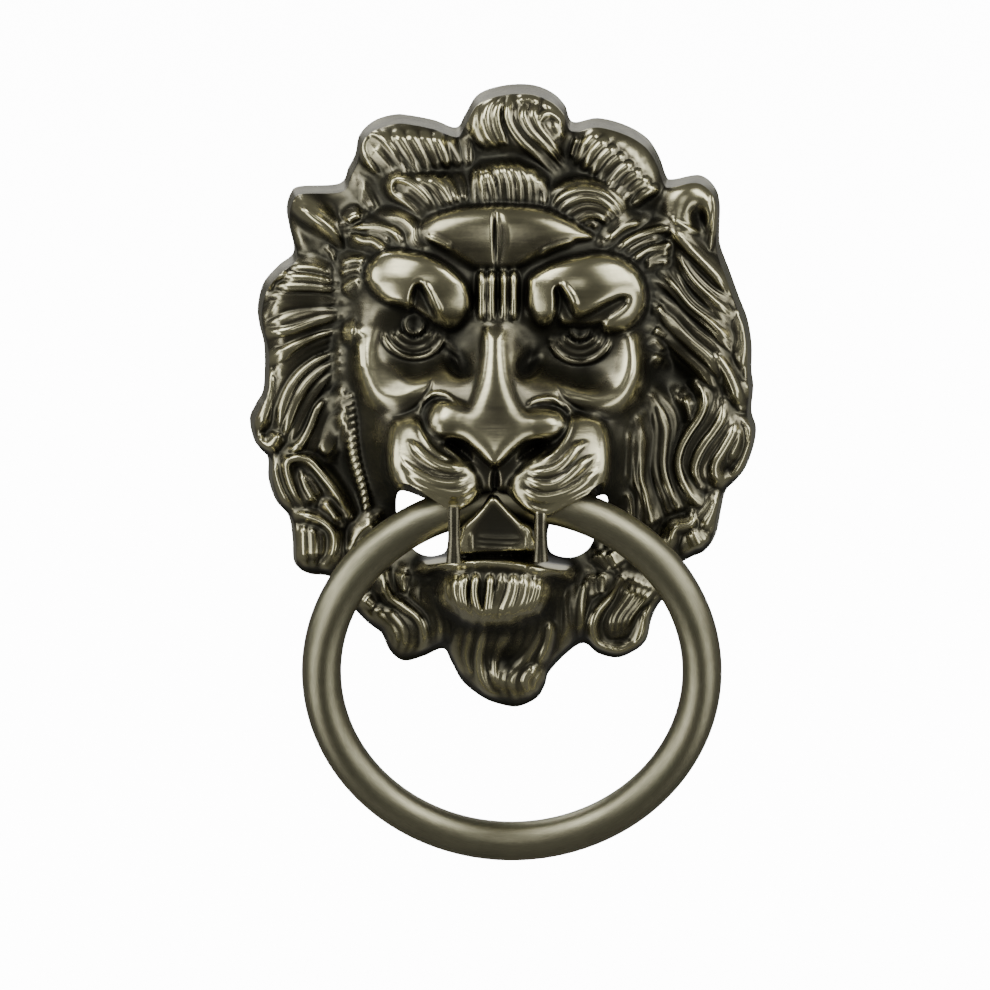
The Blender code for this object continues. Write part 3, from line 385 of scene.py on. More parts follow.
FANS = (
    # crown
    Fan(((-26.6, 57.2), (-23.6, 52.8), (-19.9, 47.4)),
        ((-8.6, 56.8), (-7.8, 52.8), (-7.4, 48.8)), 7, 1.4, 0.5),
    Fan(((-29.3, 52.4), (-26.5, 49.8), (-24.4, 47.0)),
        ((-27.9, 54.8), (-25.2, 52.0), (-22.3, 48.4)), 3, 0.5, 0.5),
    Fan(((-22.8, 43.6), (-19.6, 41.2), (-16.6, 38.2)),
        ((-21.6, 45.2), (-18.4, 43.0), (-15.2, 39.2)), 2, 0.5, 0.5),
    Fan(((-19.4, 47.0), (-15.8, 45.0), (-12.9, 40.8), (-12.2, 39.9)),
        ((-10.8, 47.6), (-8.9, 45.0), (-8.4, 42.6), (-8.2, 41.2)), 4, 1.3, 0.5),
    Fan(((-6.0, 49.6), (-6.3, 45.2), (-5.4, 40.4)),
        ((-4.0, 49.4), (-2.6, 45.2), (-1.6, 39.9)), 3, 1.3, 0.5),
    Fan(((-2.2, 50.4), (-0.4, 46.0), (0.2, 39.9)), ((2.3, 50.8), (5.0, 45.8), (5.4, 39.9)), 4, 1.3, 0.5),
    Fan(((5.2, 49.0), (6.9, 45.0), (6.9, 40.0)), ((7.8, 47.0), (8.8, 43.6), (8.5, 40.2)), 2, 1.2, 0.5),
    Fan(((-1.6, 64.8), (-5.4, 62.8), (-6.6, 59.4), (-5.6, 55.6), (-2.2, 52.2)),
        ((0.6, 64.2), (-1.4, 61.6), (-1.6, 58.4), (-0.6, 55.4), (1.2, 53.4)), 3, 1.4, 0.5),
    Fan(((2.4, 62.2), (2.2, 59.4), (3.8, 56.2), (8.8, 51.6), (12.6, 47.6)),
        ((7.3, 62.8), (6.6, 60.2), (7.6, 57.4), (10.6, 53.8), (13.9, 49.6)), 3, 1.3, 0.5),
    Fan(((9.3, 58.6), (9.8, 56.6), (12.0, 54.6)), ((11.2, 58.8), (11.8, 57.0), (13.2, 55.6)), 2, 0.5, 0.5),
    Fan(((20.8, 57.0), (17.8, 54.0), (15.2, 49.2)),
        ((33.8, 44.8), (30.4, 43.0), (27.4, 40.4)), 8, 1.4, 0.5),
    Fan(((9.2, 40.8), (11.6, 44.2), (16.6, 46.0), (21.6, 45.0), (25.6, 41.6), (27.2, 39.2)),
        ((14.4, 35.6), (15.6, 37.2), (18.0, 38.4), (20.4, 38.2), (22.0, 37.2), (22.8, 36.2)), 5, 1.2, 0.5),
    Fan(((-31.2, 46.4), (-28.8, 44.0), (-26.2, 39.2)),
        ((-30.6, 43.0), (-30.2, 41.4), (-29.4, 39.4)), 4, 0.9, 0.5),
    # left mane
    Fan(((-36.6, 25.8), (-41.0, 27.0), (-46.4, 27.4)),
        ((-35.6, 20.8), (-42.5, 21.2), (-50.8, 21.4)), 4, 1.4, 2.4),
    Fan(((-35.2, 20.1), (-41.0, 20.2), (-46.6, 19.8), (-50.8, 16.6)),
        ((-35.0, 17.8), (-40.0, 17.4), (-46.0, 16.2), (-51.4, 15.0)), 2, 1.4, 2.4),
    Fan(((-35.0, 15.4), (-40.0, 14.2), (-45.0, 12.6), (-50.6, 11.0)),
        ((-35.6, 12.6), (-40.0, 11.0), (-45.4, 7.8), (-50.2, 2.2)), 3, 1.4, 2.4),
    Fan(((-36.0, 11.2), (-41.0, 9.2), (-46.0, 5.4), (-49.0, 0.0), (-49.6, -6.6)),
        ((-36.2, 5.4), (-38.6, 3.2), (-41.0, 0.0), (-43.6, -5.0), (-46.2, -11.0)), 4, 1.5, 2.4),
    Fan(((-35.6, 0.2), (-38.6, -3.6), (-40.4, -7.6), (-41.4, -12.8)),
        ((-34.8, -3.4), (-36.6, -6.6), (-37.8, -10.0), (-38.4, -13.6)), 2, 1.2, 2.4),
    Fan(((-44.4, -16.4), (-44.0, -20.0), (-41.8, -24.2)),
        ((-43.0, -16.2), (-41.2, -19.0), (-39.2, -22.2)), 3, 0.8, 2.4),
    Fan(((-50.6, -13.4), (-50.2, -17.4), (-48.8, -21.4), (-46.2, -25.2)),
        ((-48.2, -13.6), (-47.8, -17.0), (-46.8, -20.4), (-45.4, -23.4)), 3, 0.9, 2.4),
    Fan(((-44.9, -27.4), (-45.0, -31.5), (-44.6, -36.2)),
        ((-39.8, -28.6), (-39.2, -31.6), (-39.4, -35.4)), 4, 0.8, 2.4),
    Fan(((-27.2, -26.2), (-31.0, -28.8), (-33.4, -33.0)),
        ((-28.0, -28.2), (-30.6, -30.2), (-32.4, -32.8)), 3, 0.7, 2.4),
    # right mane
    Fan(((38.2, 31.6), (39.6, 28.4), (42.2, 25.0), (45.6, 22.0), (49.2, 19.8)),
        ((37.2, 30.4), (38.0, 27.4), (40.6, 23.4), (44.2, 19.8), (48.8, 14.4)), 3, 1.2, 2.4),
    Fan(((36.4, 27.4), (38.4, 23.4), (41.0, 20.0), (44.8, 17.0), (48.8, 13.2)),
        ((32.0, 24.8), (35.4, 23.0), (39.4, 18.4), (44.6, 14.2), (49.8, 8.8)), 3, 1.4, 2.4),
    Fan(((33.6, 21.6), (36.6, 18.2), (40.8, 13.8), (45.4, 10.0), (49.0, 5.4)),
        ((33.0, 16.4), (35.4, 12.8), (39.4, 8.6), (43.2, 5.0), (45.6, 1.2)), 3, 1.4, 2.4),
    Fan(((50.2, 17.6), (50.8, 14.8), (51.2, 11.6), (50.8, 8.0)),
        ((51.2, 17.6), (52.8, 13.2), (53.2, 8.4), (52.6, 3.0)), 3, 0.8, 2.4),
    Fan(((51.4, 3.4), (51.9, 1.0), (52.4, -1.0)), ((53.3, 2.6), (53.4, 0.6), (53.2, -1.2)), 2, 0.6, 2.4),
    Fan(((45.9, 0.0), (45.6, -3.4), (43.8, -6.6), (41.6, -9.4), (39.9, -12.6), (39.4, -16.0),
        (40.6, -19.2)),
        ((49.2, -3.4), (48.6, -6.6), (47.0, -9.0), (45.2, -11.4), (43.8, -13.8), (43.0, -16.2),
        (44.2, -19.6)), 3, 1.3, 2.4),
    Fan(((37.4, 0.4), (38.8, -2.6), (40.0, -6.8)), ((40.2, -0.8), (40.9, -3.2), (41.0, -6.2)), 3, 0.8, 2.4),
    Fan(((33.0, 0.6), (35.0, -1.8), (36.5, -5.4), (36.4, -10.0), (36.2, -14.4), (36.9, -18.4),
        (39.2, -23.0)),
        ((31.8, -1.6), (33.2, -5.6), (33.4, -9.0), (33.0, -12.4), (32.8, -15.8), (33.6, -19.4),
        (35.6, -24.4)), 3, 1.0, 2.4),
    Fan(((30.6, -4.4), (31.6, -8.4), (31.4, -13.0), (31.0, -17.0), (31.8, -21.0), (33.0, -26.0)),
        ((28.4, -6.8), (28.8, -11.0), (28.7, -15.0), (28.8, -18.6), (29.9, -22.6),
        (30.4, -27.6)), 3, 0.9, 2.4),
    Fan(((39.6, -29.4), (40.4, -32.0), (41.6, -33.8)),
        ((41.6, -28.6), (43.4, -30.6), (44.4, -32.2)), 3, 0.7, 2.4),
    Fan(((45.8, -21.4), (44.0, -24.6), (41.4, -28.0)),
        ((46.9, -22.0), (46.4, -26.4), (44.6, -30.4)), 3, 0.8, 2.4),
    # chin and beard
    Fan(((-12.0, -38.8), (-12.2, -43.0), (-9.4, -48.2)),
        ((-8.0, -38.0), (-8.6, -42.5), (-7.6, -47.8)), 3, 1.6, 0.3),
    Fan(((0.0, -38.0), (-0.4, -41.6), (-1.6, -45.0), (-3.0, -47.9)),
        ((4.6, -38.2), (4.5, -41.6), (3.6, -45.0), (1.8, -48.4)), 3, 1.6, 0.3),
    Fan(((6.8, -38.8), (6.6, -42.0), (5.4, -45.4), (3.6, -48.4)),
        ((9.8, -39.8), (9.4, -43.2), (8.2, -46.0), (6.2, -48.0)), 3, 1.6, 0.3),
    Fan(((-9.0, -49.2), (-9.9, -53.0), (-9.9, -56.6), (-7.6, -61.0)),
        ((-6.6, -49.6), (-7.5, -53.2), (-8.0, -57.0), (-6.4, -61.8)), 2, 1.0, 2.0),
    Fan(((-1.0, -49.9), (-2.6, -53.4), (-3.2, -57.2), (-2.3, -60.4), (-1.5, -64.4)),
        ((3.8, -50.2), (2.6, -54.0), (0.2, -57.2), (-1.0, -60.0), (-0.6, -63.6)), 3, 1.0, 2.0),
    Fan(((6.6, -49.6), (5.4, -53.2), (3.0, -56.4), (0.6, -59.2), (-0.2, -62.0), (1.0, -66.0)),
        ((8.8, -49.0), (7.4, -53.0), (5.0, -56.6), (2.6, -59.4), (1.6, -62.2), (3.4, -66.2)), 2, 1.0, 2.0),
    Fan(((6.4, -58.0), (4.0, -59.6), (3.2, -61.8), (5.0, -66.0)),
        ((9.2, -59.8), (7.4, -61.2), (6.6, -62.8), (7.4, -64.8)), 3, 0.8, 2.0),
    Fan(((13.2, -40.2), (12.2, -44.0), (12.0, -49.0), (11.8, -54.0), (9.6, -59.4)),
        ((15.0, -40.2), (13.6, -43.6), (13.6, -48.0), (13.7, -52.0), (11.4, -58.0)), 2, 1.0, 2.0),
    Fan(((17.0, -39.4), (15.2, -42.6), (15.0, -47.0), (14.8, -53.8)),
        ((18.6, -38.8), (17.2, -43.2), (16.8, -47.4), (16.6, -53.2)), 2, 1.0, 2.0),
    Fan(((27.0, -40.2), (25.0, -44.0), (22.6, -48.0), (22.2, -52.2)),
        ((32.4, -42.4), (29.8, -45.2), (27.4, -48.2), (26.6, -50.8)), 5, 0.9, 2.0),
    Fan(((20.6, -33.6), (22.0, -36.0), (23.2, -38.0)),
        ((22.6, -33.8), (23.6, -35.8), (24.6, -37.4)), 2, 0.7, 2.0),
    Fan(((18.8, -38.4), (19.2, -41.4), (19.4, -44.0)),
        ((21.2, -38.0), (21.4, -40.6), (21.2, -43.4)), 2, 0.7, 2.0),
    Fan(((-24.2, -46.4), (-21.4, -48.2), (-19.5, -51.0), (-19.9, -54.0), (-21.2, -56.4)),
        ((-31.0, -46.0), (-28.6, -47.8), (-26.4, -49.6), (-24.4, -51.6), (-24.2, -54.4)), 4, 0.9, 2.0),
    Fan(((-20.0, -39.0), (-18.4, -43.0), (-16.0, -46.0), (-14.9, -49.6), (-15.4, -54.8)),
        ((-14.0, -42.6), (-13.6, -45.0), (-12.8, -47.4), (-12.0, -50.0), (-12.2, -53.6)), 3, 0.9, 2.0),
)

RIDGES = (
    # crown
    Ridge(((-25.3, 46.2), (-29.0, 49.8), (-30.6, 53.0), (-29.6, 55.8), (-27.6, 56.3), (-25.0, 54.2),
        (-20.9, 49.2)), 0.9, 1.2, 0.5),
    Ridge(((-17.2, 36.8), (-18.2, 39.0), (-21.0, 41.2), (-23.8, 43.0), (-24.3, 45.0), (-22.8, 46.4),
        (-20.0, 45.6), (-16.8, 43.0), (-14.0, 38.9)), 0.9, 1.2, 0.5),
    Ridge(((1.6, 65.0), (0.9, 61.4), (1.4, 58.0), (4.0, 54.2), (8.0, 50.6), (11.5, 47.2)), 0.9, 1.2, 0.5),
    Ridge(((7.8, 57.6), (8.2, 59.6), (10.0, 60.5), (12.0, 59.4), (13.2, 57.2)), 0.8, 1.0, 0.5),
    Ridge(((8.4, 63.2), (11.2, 61.6), (13.4, 58.6)), 1.2, 1.0, 0.5),
    Ridge(((3.0, 63.6), (6.0, 63.9), (8.0, 63.0)), 1.0, 0.8, 0.5),
    Ridge(((16.2, 55.8), (15.2, 53.0), (14.7, 50.4)), 0.7, 1.0, 0.5),
    Ridge(((17.2, 36.2), (19.0, 36.8), (20.6, 35.6)), 0.7, 0.8, 0.5),
    # temples
    Ridge(((-33.0, 34.6), (-30.4, 33.2), (-28.0, 33.0), (-26.0, 31.4), (-25.6, 29.6)), 1.0, 1.3, 2.0),
    Ridge(((-33.2, 35.6), (-30.0, 36.1), (-26.6, 36.0), (-23.4, 34.8), (-21.4, 32.2)), 0.8, 1.2, 2.0),
    Ridge(((-30.0, 34.8), (-26.6, 34.6), (-24.0, 32.6)), 0.7, 0.6, 2.0),
    Ridge(((-33.6, 36.9), (-32.2, 38.2), (-30.4, 38.6)), 0.8, 1.0, 2.0),
    Ridge(((-26.0, 38.6), (-22.0, 37.8), (-19.4, 35.6), (-18.9, 33.6), (-17.2, 31.9)), 0.6, 0.8, 2.0),
    Ridge(((-35.2, 27.8), (-32.2, 28.9), (-29.4, 28.6)), 0.9, 1.0, 1.4),
    Ridge(((-35.4, 26.0), (-32.2, 27.0), (-30.0, 26.8)), 0.8, 0.8, 1.4),
    Ridge(((-34.8, 22.2), (-32.4, 24.2), (-30.6, 24.6)), 0.8, 0.8, 1.4),
    Ridge(((30.2, 37.2), (26.5, 36.2), (21.8, 33.0)), 0.8, 1.0, 2.0),
    Ridge(((36.4, 34.4), (34.8, 35.6), (31.0, 34.9), (27.5, 33.4), (24.3, 31.0)), 0.9, 1.2, 2.0),
    Ridge(((34.4, 34.0), (31.4, 33.3), (28.6, 32.0), (26.0, 30.4)), 0.7, 0.8, 2.0),
    Ridge(((36.4, 33.8), (35.2, 32.0), (31.4, 31.2), (27.2, 28.4)), 0.9, 1.2, 2.0),
    Ridge(((36.3, 30.4), (33.4, 30.2), (30.2, 28.0)), 0.8, 0.9, 2.0),
    Ridge(((36.2, 28.6), (33.0, 28.6), (30.4, 27.2)), 0.7, 0.8, 2.0),
    # ears
    Ridge(((-45.6, 40.6), (-41.6, 38.4), (-37.6, 35.4), (-34.2, 31.0)), 1.4, 1.2, 0.6),
    Ridge(((-46.2, 38.2), (-45.6, 34.6), (-44.6, 31.6)), 0.6, 0.8, 0.6),
    Ridge(((-38.6, 32.2), (-36.8, 30.6), (-36.4, 28.4)), 0.7, 0.8, 0.6),
    Ridge(((45.0, 44.6), (45.9, 41.0), (45.8, 37.0), (45.0, 33.0)), 0.9, 1.2, 0.6),
    Ridge(((42.8, 34.8), (40.2, 35.4), (37.6, 36.6), (35.6, 38.4)), 0.8, 0.9, 0.6),
    Ridge(((45.6, 39.4), (45.2, 35.0), (44.4, 29.8)), 0.6, 0.8, 0.6),
    # left mane
    Ridge(((-35.2, 17.0), (-40.0, 15.8), (-46.0, 13.9), (-51.6, 13.2)), 1.2, 1.3, 2.4),
    Ridge(((-46.0, 26.4), (-49.6, 25.0), (-51.2, 22.4)), 0.8, 1.0, 2.4),
    Ridge(((-53.4, -8.6), (-52.2, -10.6), (-50.2, -10.8), (-47.8, -8.0)), 0.9, 1.0, 2.4),
    Ridge(((-50.6, 6.0), (-50.6, 1.0), (-51.4, -3.4), (-53.2, -7.4)), 1.3, 1.2, 2.4),
    Ridge(((-37.8, -0.3), (-40.0, -3.2), (-41.5, -7.0), (-43.6, -10.6), (-46.8, -12.8)), 1.0, 1.2, 2.4),
    Ridge(((-42.4, -24.8), (-44.8, -21.6), (-46.4, -17.6), (-46.6, -14.6), (-44.2, -13.6), (-41.6, -14.4),
        (-38.4, -18.0), (-35.6, -21.8), (-33.4, -25.8)), 1.0, 1.3, 2.4),
    Ridge(((-39.0, -22.6), (-37.2, -24.8), (-35.4, -27.6)), 0.7, 0.8, 2.4),
    Ridge(((-46.0, -25.6), (-42.0, -26.2), (-38.6, -27.6), (-36.6, -30.0), (-36.6, -33.4), (-38.4, -36.6)),
        0.9, 1.2, 2.4),
    Ridge(((-31.2, 12.2), (-30.9, 8.0), (-30.6, 4.6)), 0.6, 0.6, 0.4),
    Ridge(((-34.8, 13.9), (-31.8, 13.6)), 1.0, 1.0, 2.4),
    # right mane
    Ridge(((35.2, 36.0), (38.2, 33.2), (42.0, 29.6), (46.0, 25.6), (48.4, 21.8)), 1.1, 1.3, 2.4),
    Ridge(((44.6, 9.6), (47.2, 6.6), (49.4, 2.8), (51.4, -2.4)), 1.2, 1.3, 2.4),
    Ridge(((41.8, 2.6), (43.1, 0.4), (43.3, -2.2), (42.2, -5.0), (40.2, -8.0), (38.4, -11.4), (37.7, -15.0),
        (38.6, -18.6), (40.2, -21.2), (42.6, -23.6)), 1.0, 1.3, 2.4),
    Ridge(((50.2, -5.0), (49.6, -8.0), (47.6, -11.6), (45.8, -14.6), (45.7, -17.0), (47.2, -18.4),
        (48.6, -18.2)), 1.1, 1.3, 2.4),
    Ridge(((51.4, -5.4), (53.2, -7.6), (53.7, -11.6), (52.2, -15.8), (49.6, -19.6)), 0.9, 1.0, 2.4),
    Ridge(((51.0, -6.4), (50.6, -10.0), (48.6, -14.0)), 0.6, 0.7, 2.4),
    Ridge(((27.2, -6.6), (27.2, -13.0), (26.8, -20.0)), 0.8, 0.8, 1.0),
    Ridge(((26.6, -20.4), (27.5, -23.8), (27.4, -28.4)), 0.7, 0.8, 1.0),
    Ridge(((41.4, -25.4), (40.6, -27.8), (37.4, -28.6), (36.4, -30.4), (35.7, -33.0)), 0.8, 1.0, 2.4),
    Ridge(((33.0, 19.2), (34.6, 17.4), (36.4, 15.7)), 0.7, 0.8, 2.4),
    Ridge(((32.4, 14.2), (35.4, 12.4)), 0.9, 0.9, 2.4),
    Ridge(((32.4, 12.4), (34.8, 9.2)), 0.6, 0.7, 2.4),
    Ridge(((32.4, 8.6), (34.6, 7.2)), 0.7, 0.7, 2.4),
    # chin and beard
    Ridge(((-5.6, -37.8), (-6.2, -42.0), (-5.8, -45.0), (-4.8, -48.6)), 1.0, 1.6, 0.3),
    Ridge(((-2.6, -38.0), (-2.9, -42.0), (-3.4, -46.0), (-3.6, -48.8)), 1.0, 1.6, 0.3),
    Ridge(((-3.6, -49.6), (-4.6, -53.0), (-5.3, -57.0), (-5.0, -61.0), (-3.4, -64.2), (-0.6, -66.0)),
        1.0, 1.2, 2.0),
    Ridge(((10.4, -48.4), (10.2, -52.0), (9.2, -55.8), (7.6, -57.6)), 1.1, 1.2, 2.0),
    Ridge(((25.6, -40.0), (23.4, -43.4), (20.6, -46.8), (19.4, -50.4), (20.2, -53.6), (22.8, -55.4),
        (26.2, -55.8), (29.2, -54.2), (30.6, -50.8), (31.2, -47.4), (33.4, -44.6)), 1.0, 1.3, 2.0),
    Ridge(((-25.8, -38.5), (-25.6, -41.0), (-24.4, -43.6), (-21.6, -45.6), (-18.6, -48.0), (-17.3, -50.6),
        (-17.2, -53.6), (-18.6, -56.0)), 1.0, 1.3, 2.0),
    Ridge(((-21.3, -38.0), (-21.6, -40.2), (-21.0, -42.8)), 0.6, 0.7, 2.0),
    Ridge(((-30.4, -44.2), (-28.0, -46.2)), 0.6, 0.7, 2.0),
    # gum between the teeth
    Ridge(((-6.0, -30.6), (-1.0, -30.9), (4.2, -31.0)), 0.42, 0.6, 0.0),
    Ridge(((-6.0, -31.7), (-1.0, -32.0), (4.2, -32.1)), 0.42, 0.6, 0.0),
    Ridge(((-6.0, -32.8), (-1.0, -33.1), (4.2, -33.2)), 0.42, 0.6, 0.0),
    Ridge(((-6.8, -29.4), (-6.9, -31.4), (-6.7, -33.6)), 0.4, 0.6, 0.0),
    Ridge(((5.1, -29.6), (5.2, -31.6), (5.0, -33.8)), 0.4, 0.6, 0.0),
    # forehead folds
    Ridge(((-16.8, 34.0), (-14.0, 32.8), (-10.8, 31.2)), 1.0, 0.7, 0.0),
    Ridge(((7.4, 29.6), (11.0, 31.4), (16.0, 32.8)), 1.0, 0.7, 0.0),
    # notches' edges
    Ridge(((-17.6, 24.4), (-16.0, 22.2), (-14.6, 19.4), (-13.2, 16.6)), 0.9, 0.7, 0.0),
    Ridge(((12.2, 24.0), (14.6, 21.2), (15.8, 18.2)), 0.9, 0.6, 0.0),
    # folds at the inner corners of the eyes
    Ridge(((-13.6, 10.8), (-12.4, 11.2), (-10.8, 9.8), (-9.2, 7.6), (-8.6, 4.8)), 0.6, 0.7, 0.0),
    Ridge(((-16.6, 10.4), (-14.8, 11.8), (-13.2, 13.2)), 0.9, 0.8, 0.0),
    Ridge(((9.8, 12.6), (11.6, 10.2), (13.8, 8.6)), 0.8, 0.8, 0.0),
    # whisker ridges, left
    Ridge(((-20.5, -9.5), (-18.0, -12.3), (-15.5, -14.2), (-13.0, -15.4), (-10.5, -15.8), (-8.0, -15.6)),
        1.1, 1.0, 0.0),
    Ridge(((-22.2, -13.2), (-20.2, -15.8), (-16.2, -18.2), (-12.0, -19.2), (-8.8, -18.8), (-6.8, -17.8)),
        1.1, 1.0, 0.0),
    Ridge(((-21.2, -16.4), (-18.4, -18.8), (-14.0, -20.6), (-9.6, -21.2), (-5.6, -19.4)), 1.1, 1.0, 0.0),
    Ridge(((-22.4, -19.4), (-17.2, -21.8), (-12.2, -24.6), (-9.8, -24.6), (-7.2, -23.2)), 1.0, 0.9, 0.0),
    Ridge(((-16.4, -16.2), (-13.4, -17.3), (-10.0, -17.4), (-7.8, -16.7)), 0.45, 0.5, 0.0),
    Ridge(((-15.0, -22.0), (-11.6, -22.7), (-8.4, -22.6), (-5.8, -21.4)), 0.45, 0.5, 0.0),
    Ridge(((-18.3, -4.6), (-17.1, -8.9), (-14.4, -12.4), (-10.8, -14.3)), 0.5, 0.8, 0.0),
    Ridge(((-18.2, -4.4), (-17.3, -1.6), (-14.9, 0.2), (-12.1, -0.2), (-9.4, -2.2)), 0.5, 0.8, 0.0),
    Ridge(((-12.6, -9.6), (-12.2, -11.2), (-9.6, -13.4), (-8.7, -14.8)), 0.5, 1.2, 0.0),
    # whisker ridges, right
    Ridge(((18.6, -10.0), (16.0, -11.4), (14.5, -13.2), (12.5, -15.2), (10.0, -16.4), (7.0, -16.8),
        (5.0, -16.4)), 1.1, 1.0, 0.0),
    Ridge(((20.0, -12.7), (17.0, -15.0), (14.4, -17.4), (11.5, -19.2), (8.6, -19.6), (4.4, -18.2)),
        1.1, 1.0, 0.0),
    Ridge(((20.6, -15.8), (18.2, -18.4), (15.0, -20.6), (11.2, -22.0), (7.6, -22.2), (3.6, -20.4)),
        1.1, 1.0, 0.0),
    Ridge(((21.0, -19.8), (17.0, -22.4), (13.0, -24.2), (9.5, -25.6), (6.6, -25.0), (3.4, -23.0)),
        1.0, 0.9, 0.0),
    Ridge(((14.0, -16.0), (10.8, -17.8), (7.0, -18.2)), 0.45, 0.5, 0.0),
    Ridge(((17.0, -17.6), (13.6, -19.9), (10.2, -20.8), (6.4, -20.8)), 0.45, 0.5, 0.0),
    Ridge(((18.4, -20.0), (14.6, -22.4), (10.2, -23.8), (6.4, -23.6)), 0.45, 0.5, 0.0),
    Ridge(((13.0, -0.6), (14.6, -4.4), (13.8, -8.4), (11.0, -12.4), (7.2, -14.4)), 0.5, 0.8, 0.0),
    Ridge(((4.6, -3.4), (6.3, -1.6), (9.4, -0.8), (11.4, -1.2), (13.2, -3.0)), 0.5, 0.8, 0.0),
    Ridge(((9.2, -9.8), (9.0, -11.8), (6.8, -13.7), (5.4, -14.5)), 0.5, 1.2, 0.0),
)

# A cut line: points, half width and how deep
Cut = namedtuple("Cut", "points half_width depth")
CUTS = (
    Cut(((-1.9, 40.6), (-1.7, 34.0), (-1.6, 26.6)), 0.55, 1.5),  # down the forehead
    Cut(((-0.9, 39.4), (-0.4, 34.0), (-0.9, 27.2)), 1.3, 0.7),
    Cut(((-13.4, -10.4), (-10.8, -10.9), (-8.2, -12.6), (-6.4, -14.4)), 1.0, 2.8),  # nostrils
    Cut(((11.0, -10.6), (7.6, -11.2), (4.8, -12.8), (3.0, -14.2)), 1.0, 2.8),
    # above the wings
    Cut(((-17.6, -4.6), (-16.8, -2.4), (-14.8, -1.0), (-12.0, -1.2), (-9.6, -2.6)), 0.6, 1.0),
    Cut(((5.0, -3.0), (7.4, -2.4), (10.4, -2.4), (12.8, -3.4), (14.2, -5.6)), 0.6, 1.0),
    Cut(((-1.7, -15.0), (-1.7, -22.0)), 0.8, 1.8),  # between the muzzle's halves
    # under the cheeks
    Cut(((-24.6, -4.6), (-21.0, -4.0), (-17.8, -2.0), (-16.0, 0.8), (-15.0, 3.8)), 0.6, 0.7),
    Cut(((24.6, -5.4), (20.0, -5.2), (15.8, -3.0), (13.0, -0.8), (11.4, 2.2)), 0.6, 0.7),
)

TWIST_PATH = ((-33.8, -0.6), (-33.0, -6.0), (-32.6, -10.0), (-32.0, -14.0), (-30.9, -18.0), (-29.8, -22.0),
              (-29.2, -25.0))
TWIST_STEP = 1.5
TWIST_REACH = 2.0
TWIST_NARROWING = 0.8
TWIST_RISE = 0.9
TWIST_SAG = 0.1
TWIST_HALF_WIDTH = 0.75
TWIST_HEIGHT = 1.0

EYES = (
    (-19.0, 15.0, 2.6, (3.7, 5.2, 6.9)),
    (16.5, 14.0, 2.6, (3.7, 5.2, 6.9)),
)


def softer_max(first, second, blend=BLEND):
    """The larger of two depths, rounded where they cross."""
    return 0.5 * (first + second + np.sqrt((first - second) ** 2 + blend**2))


def smooth_line(points, steps=8):
    """A smooth line through the points, with any further values beside u and w carried along."""
    p = np.array(points, float)
    if len(p) == 2:
        t = np.linspace(0, 1, steps + 1)[:, None]
        return p[0] * (1 - t) + p[1] * t
    ends = np.vstack([2 * p[0] - p[1], p, 2 * p[-1] - p[-2]])
    t = np.linspace(0, 1, steps, endpoint=False)[:, None]
    spans = []
    for a, b, c, d in zip(ends[:-3], ends[1:-2], ends[2:-1], ends[3:]):
        bend = (2 * a - 5 * b + 4 * c - d) * t**2 + (3 * b - a - 3 * c + d) * t**3
        spans.append(0.5 * (2 * b + (c - a) * t + bend))
    return np.vstack(spans + [p[-1:]])


def closed_line(points, steps=6):
    """A smooth closed line through the points."""
    points = tuple(points)
    return smooth_line(points[-2:] + points + points[:2], steps)[2 * steps:-2 * steps - 1]


def outline_radius(angle):
    """Distance from the middle to the drawn outline at each angle."""
    points = closed_line(OUTLINE, 8)
    angles = np.arctan2(points[:, 1], points[:, 0])
    radii = np.hypot(points[:, 0], points[:, 1]) * OUTLINE_SCALE
    order = np.argsort(angles)
    return np.interp(angle, angles[order], radii[order], period=2 * math.pi)


def nearest_on(line, u, w):
    """Distance to a line, share of its length there, and the values carried along it."""
    best = np.full(u.shape, np.inf)
    share = np.zeros(u.shape)
    carried = np.zeros((line.shape[1] - 2,) + u.shape)
    lengths = np.hypot(*np.diff(line[:, :2], axis=0).T)
    total = lengths.sum()
    start = 0.0
    for a, b, length in zip(line[:-1], line[1:], lengths):
        du, dw = b[0] - a[0], b[1] - a[1]
        t = np.clip(((u - a[0]) * du + (w - a[1]) * dw) / max(length**2, 1e-9), 0, 1)
        away = (u - a[0] - t * du) ** 2 + (w - a[1] - t * dw) ** 2
        nearer = away < best
        best = np.where(nearer, away, best)
        share = np.where(nearer, (start + t * length) / total, share)
        for k in range(len(carried)):
            carried[k] = np.where(nearer, a[2 + k] + t * (b[2 + k] - a[2 + k]), carried[k])
        start += length
    return np.sqrt(best), share, carried


def raster_places():
    """The drawn places of an even grid over the whole plate."""
    u = np.arange(-RASTER_HALF_WIDTH, RASTER_HALF_WIDTH + RASTER_STEP, RASTER_STEP)
    w = np.arange(-RASTER_HALF_HEIGHT, RASTER_HALF_HEIGHT + RASTER_STEP, RASTER_STEP)
    return np.meshgrid(u, w)


def window(line, margin):
    """The part of the raster that a line can reach, as slices."""
    low = line[:, :2].min(axis=0) - margin
    high = line[:, :2].max(axis=0) + margin
    first_row = max(0, int((low[1] + RASTER_HALF_HEIGHT) / RASTER_STEP))
    last_row = max(0, int((high[1] + RASTER_HALF_HEIGHT) / RASTER_STEP) + 2)
    first_column = max(0, int((low[0] + RASTER_HALF_WIDTH) / RASTER_STEP))
    last_column = max(0, int((high[0] + RASTER_HALF_WIDTH) / RASTER_STEP) + 2)
    return slice(first_row, last_row), slice(first_column, last_column)


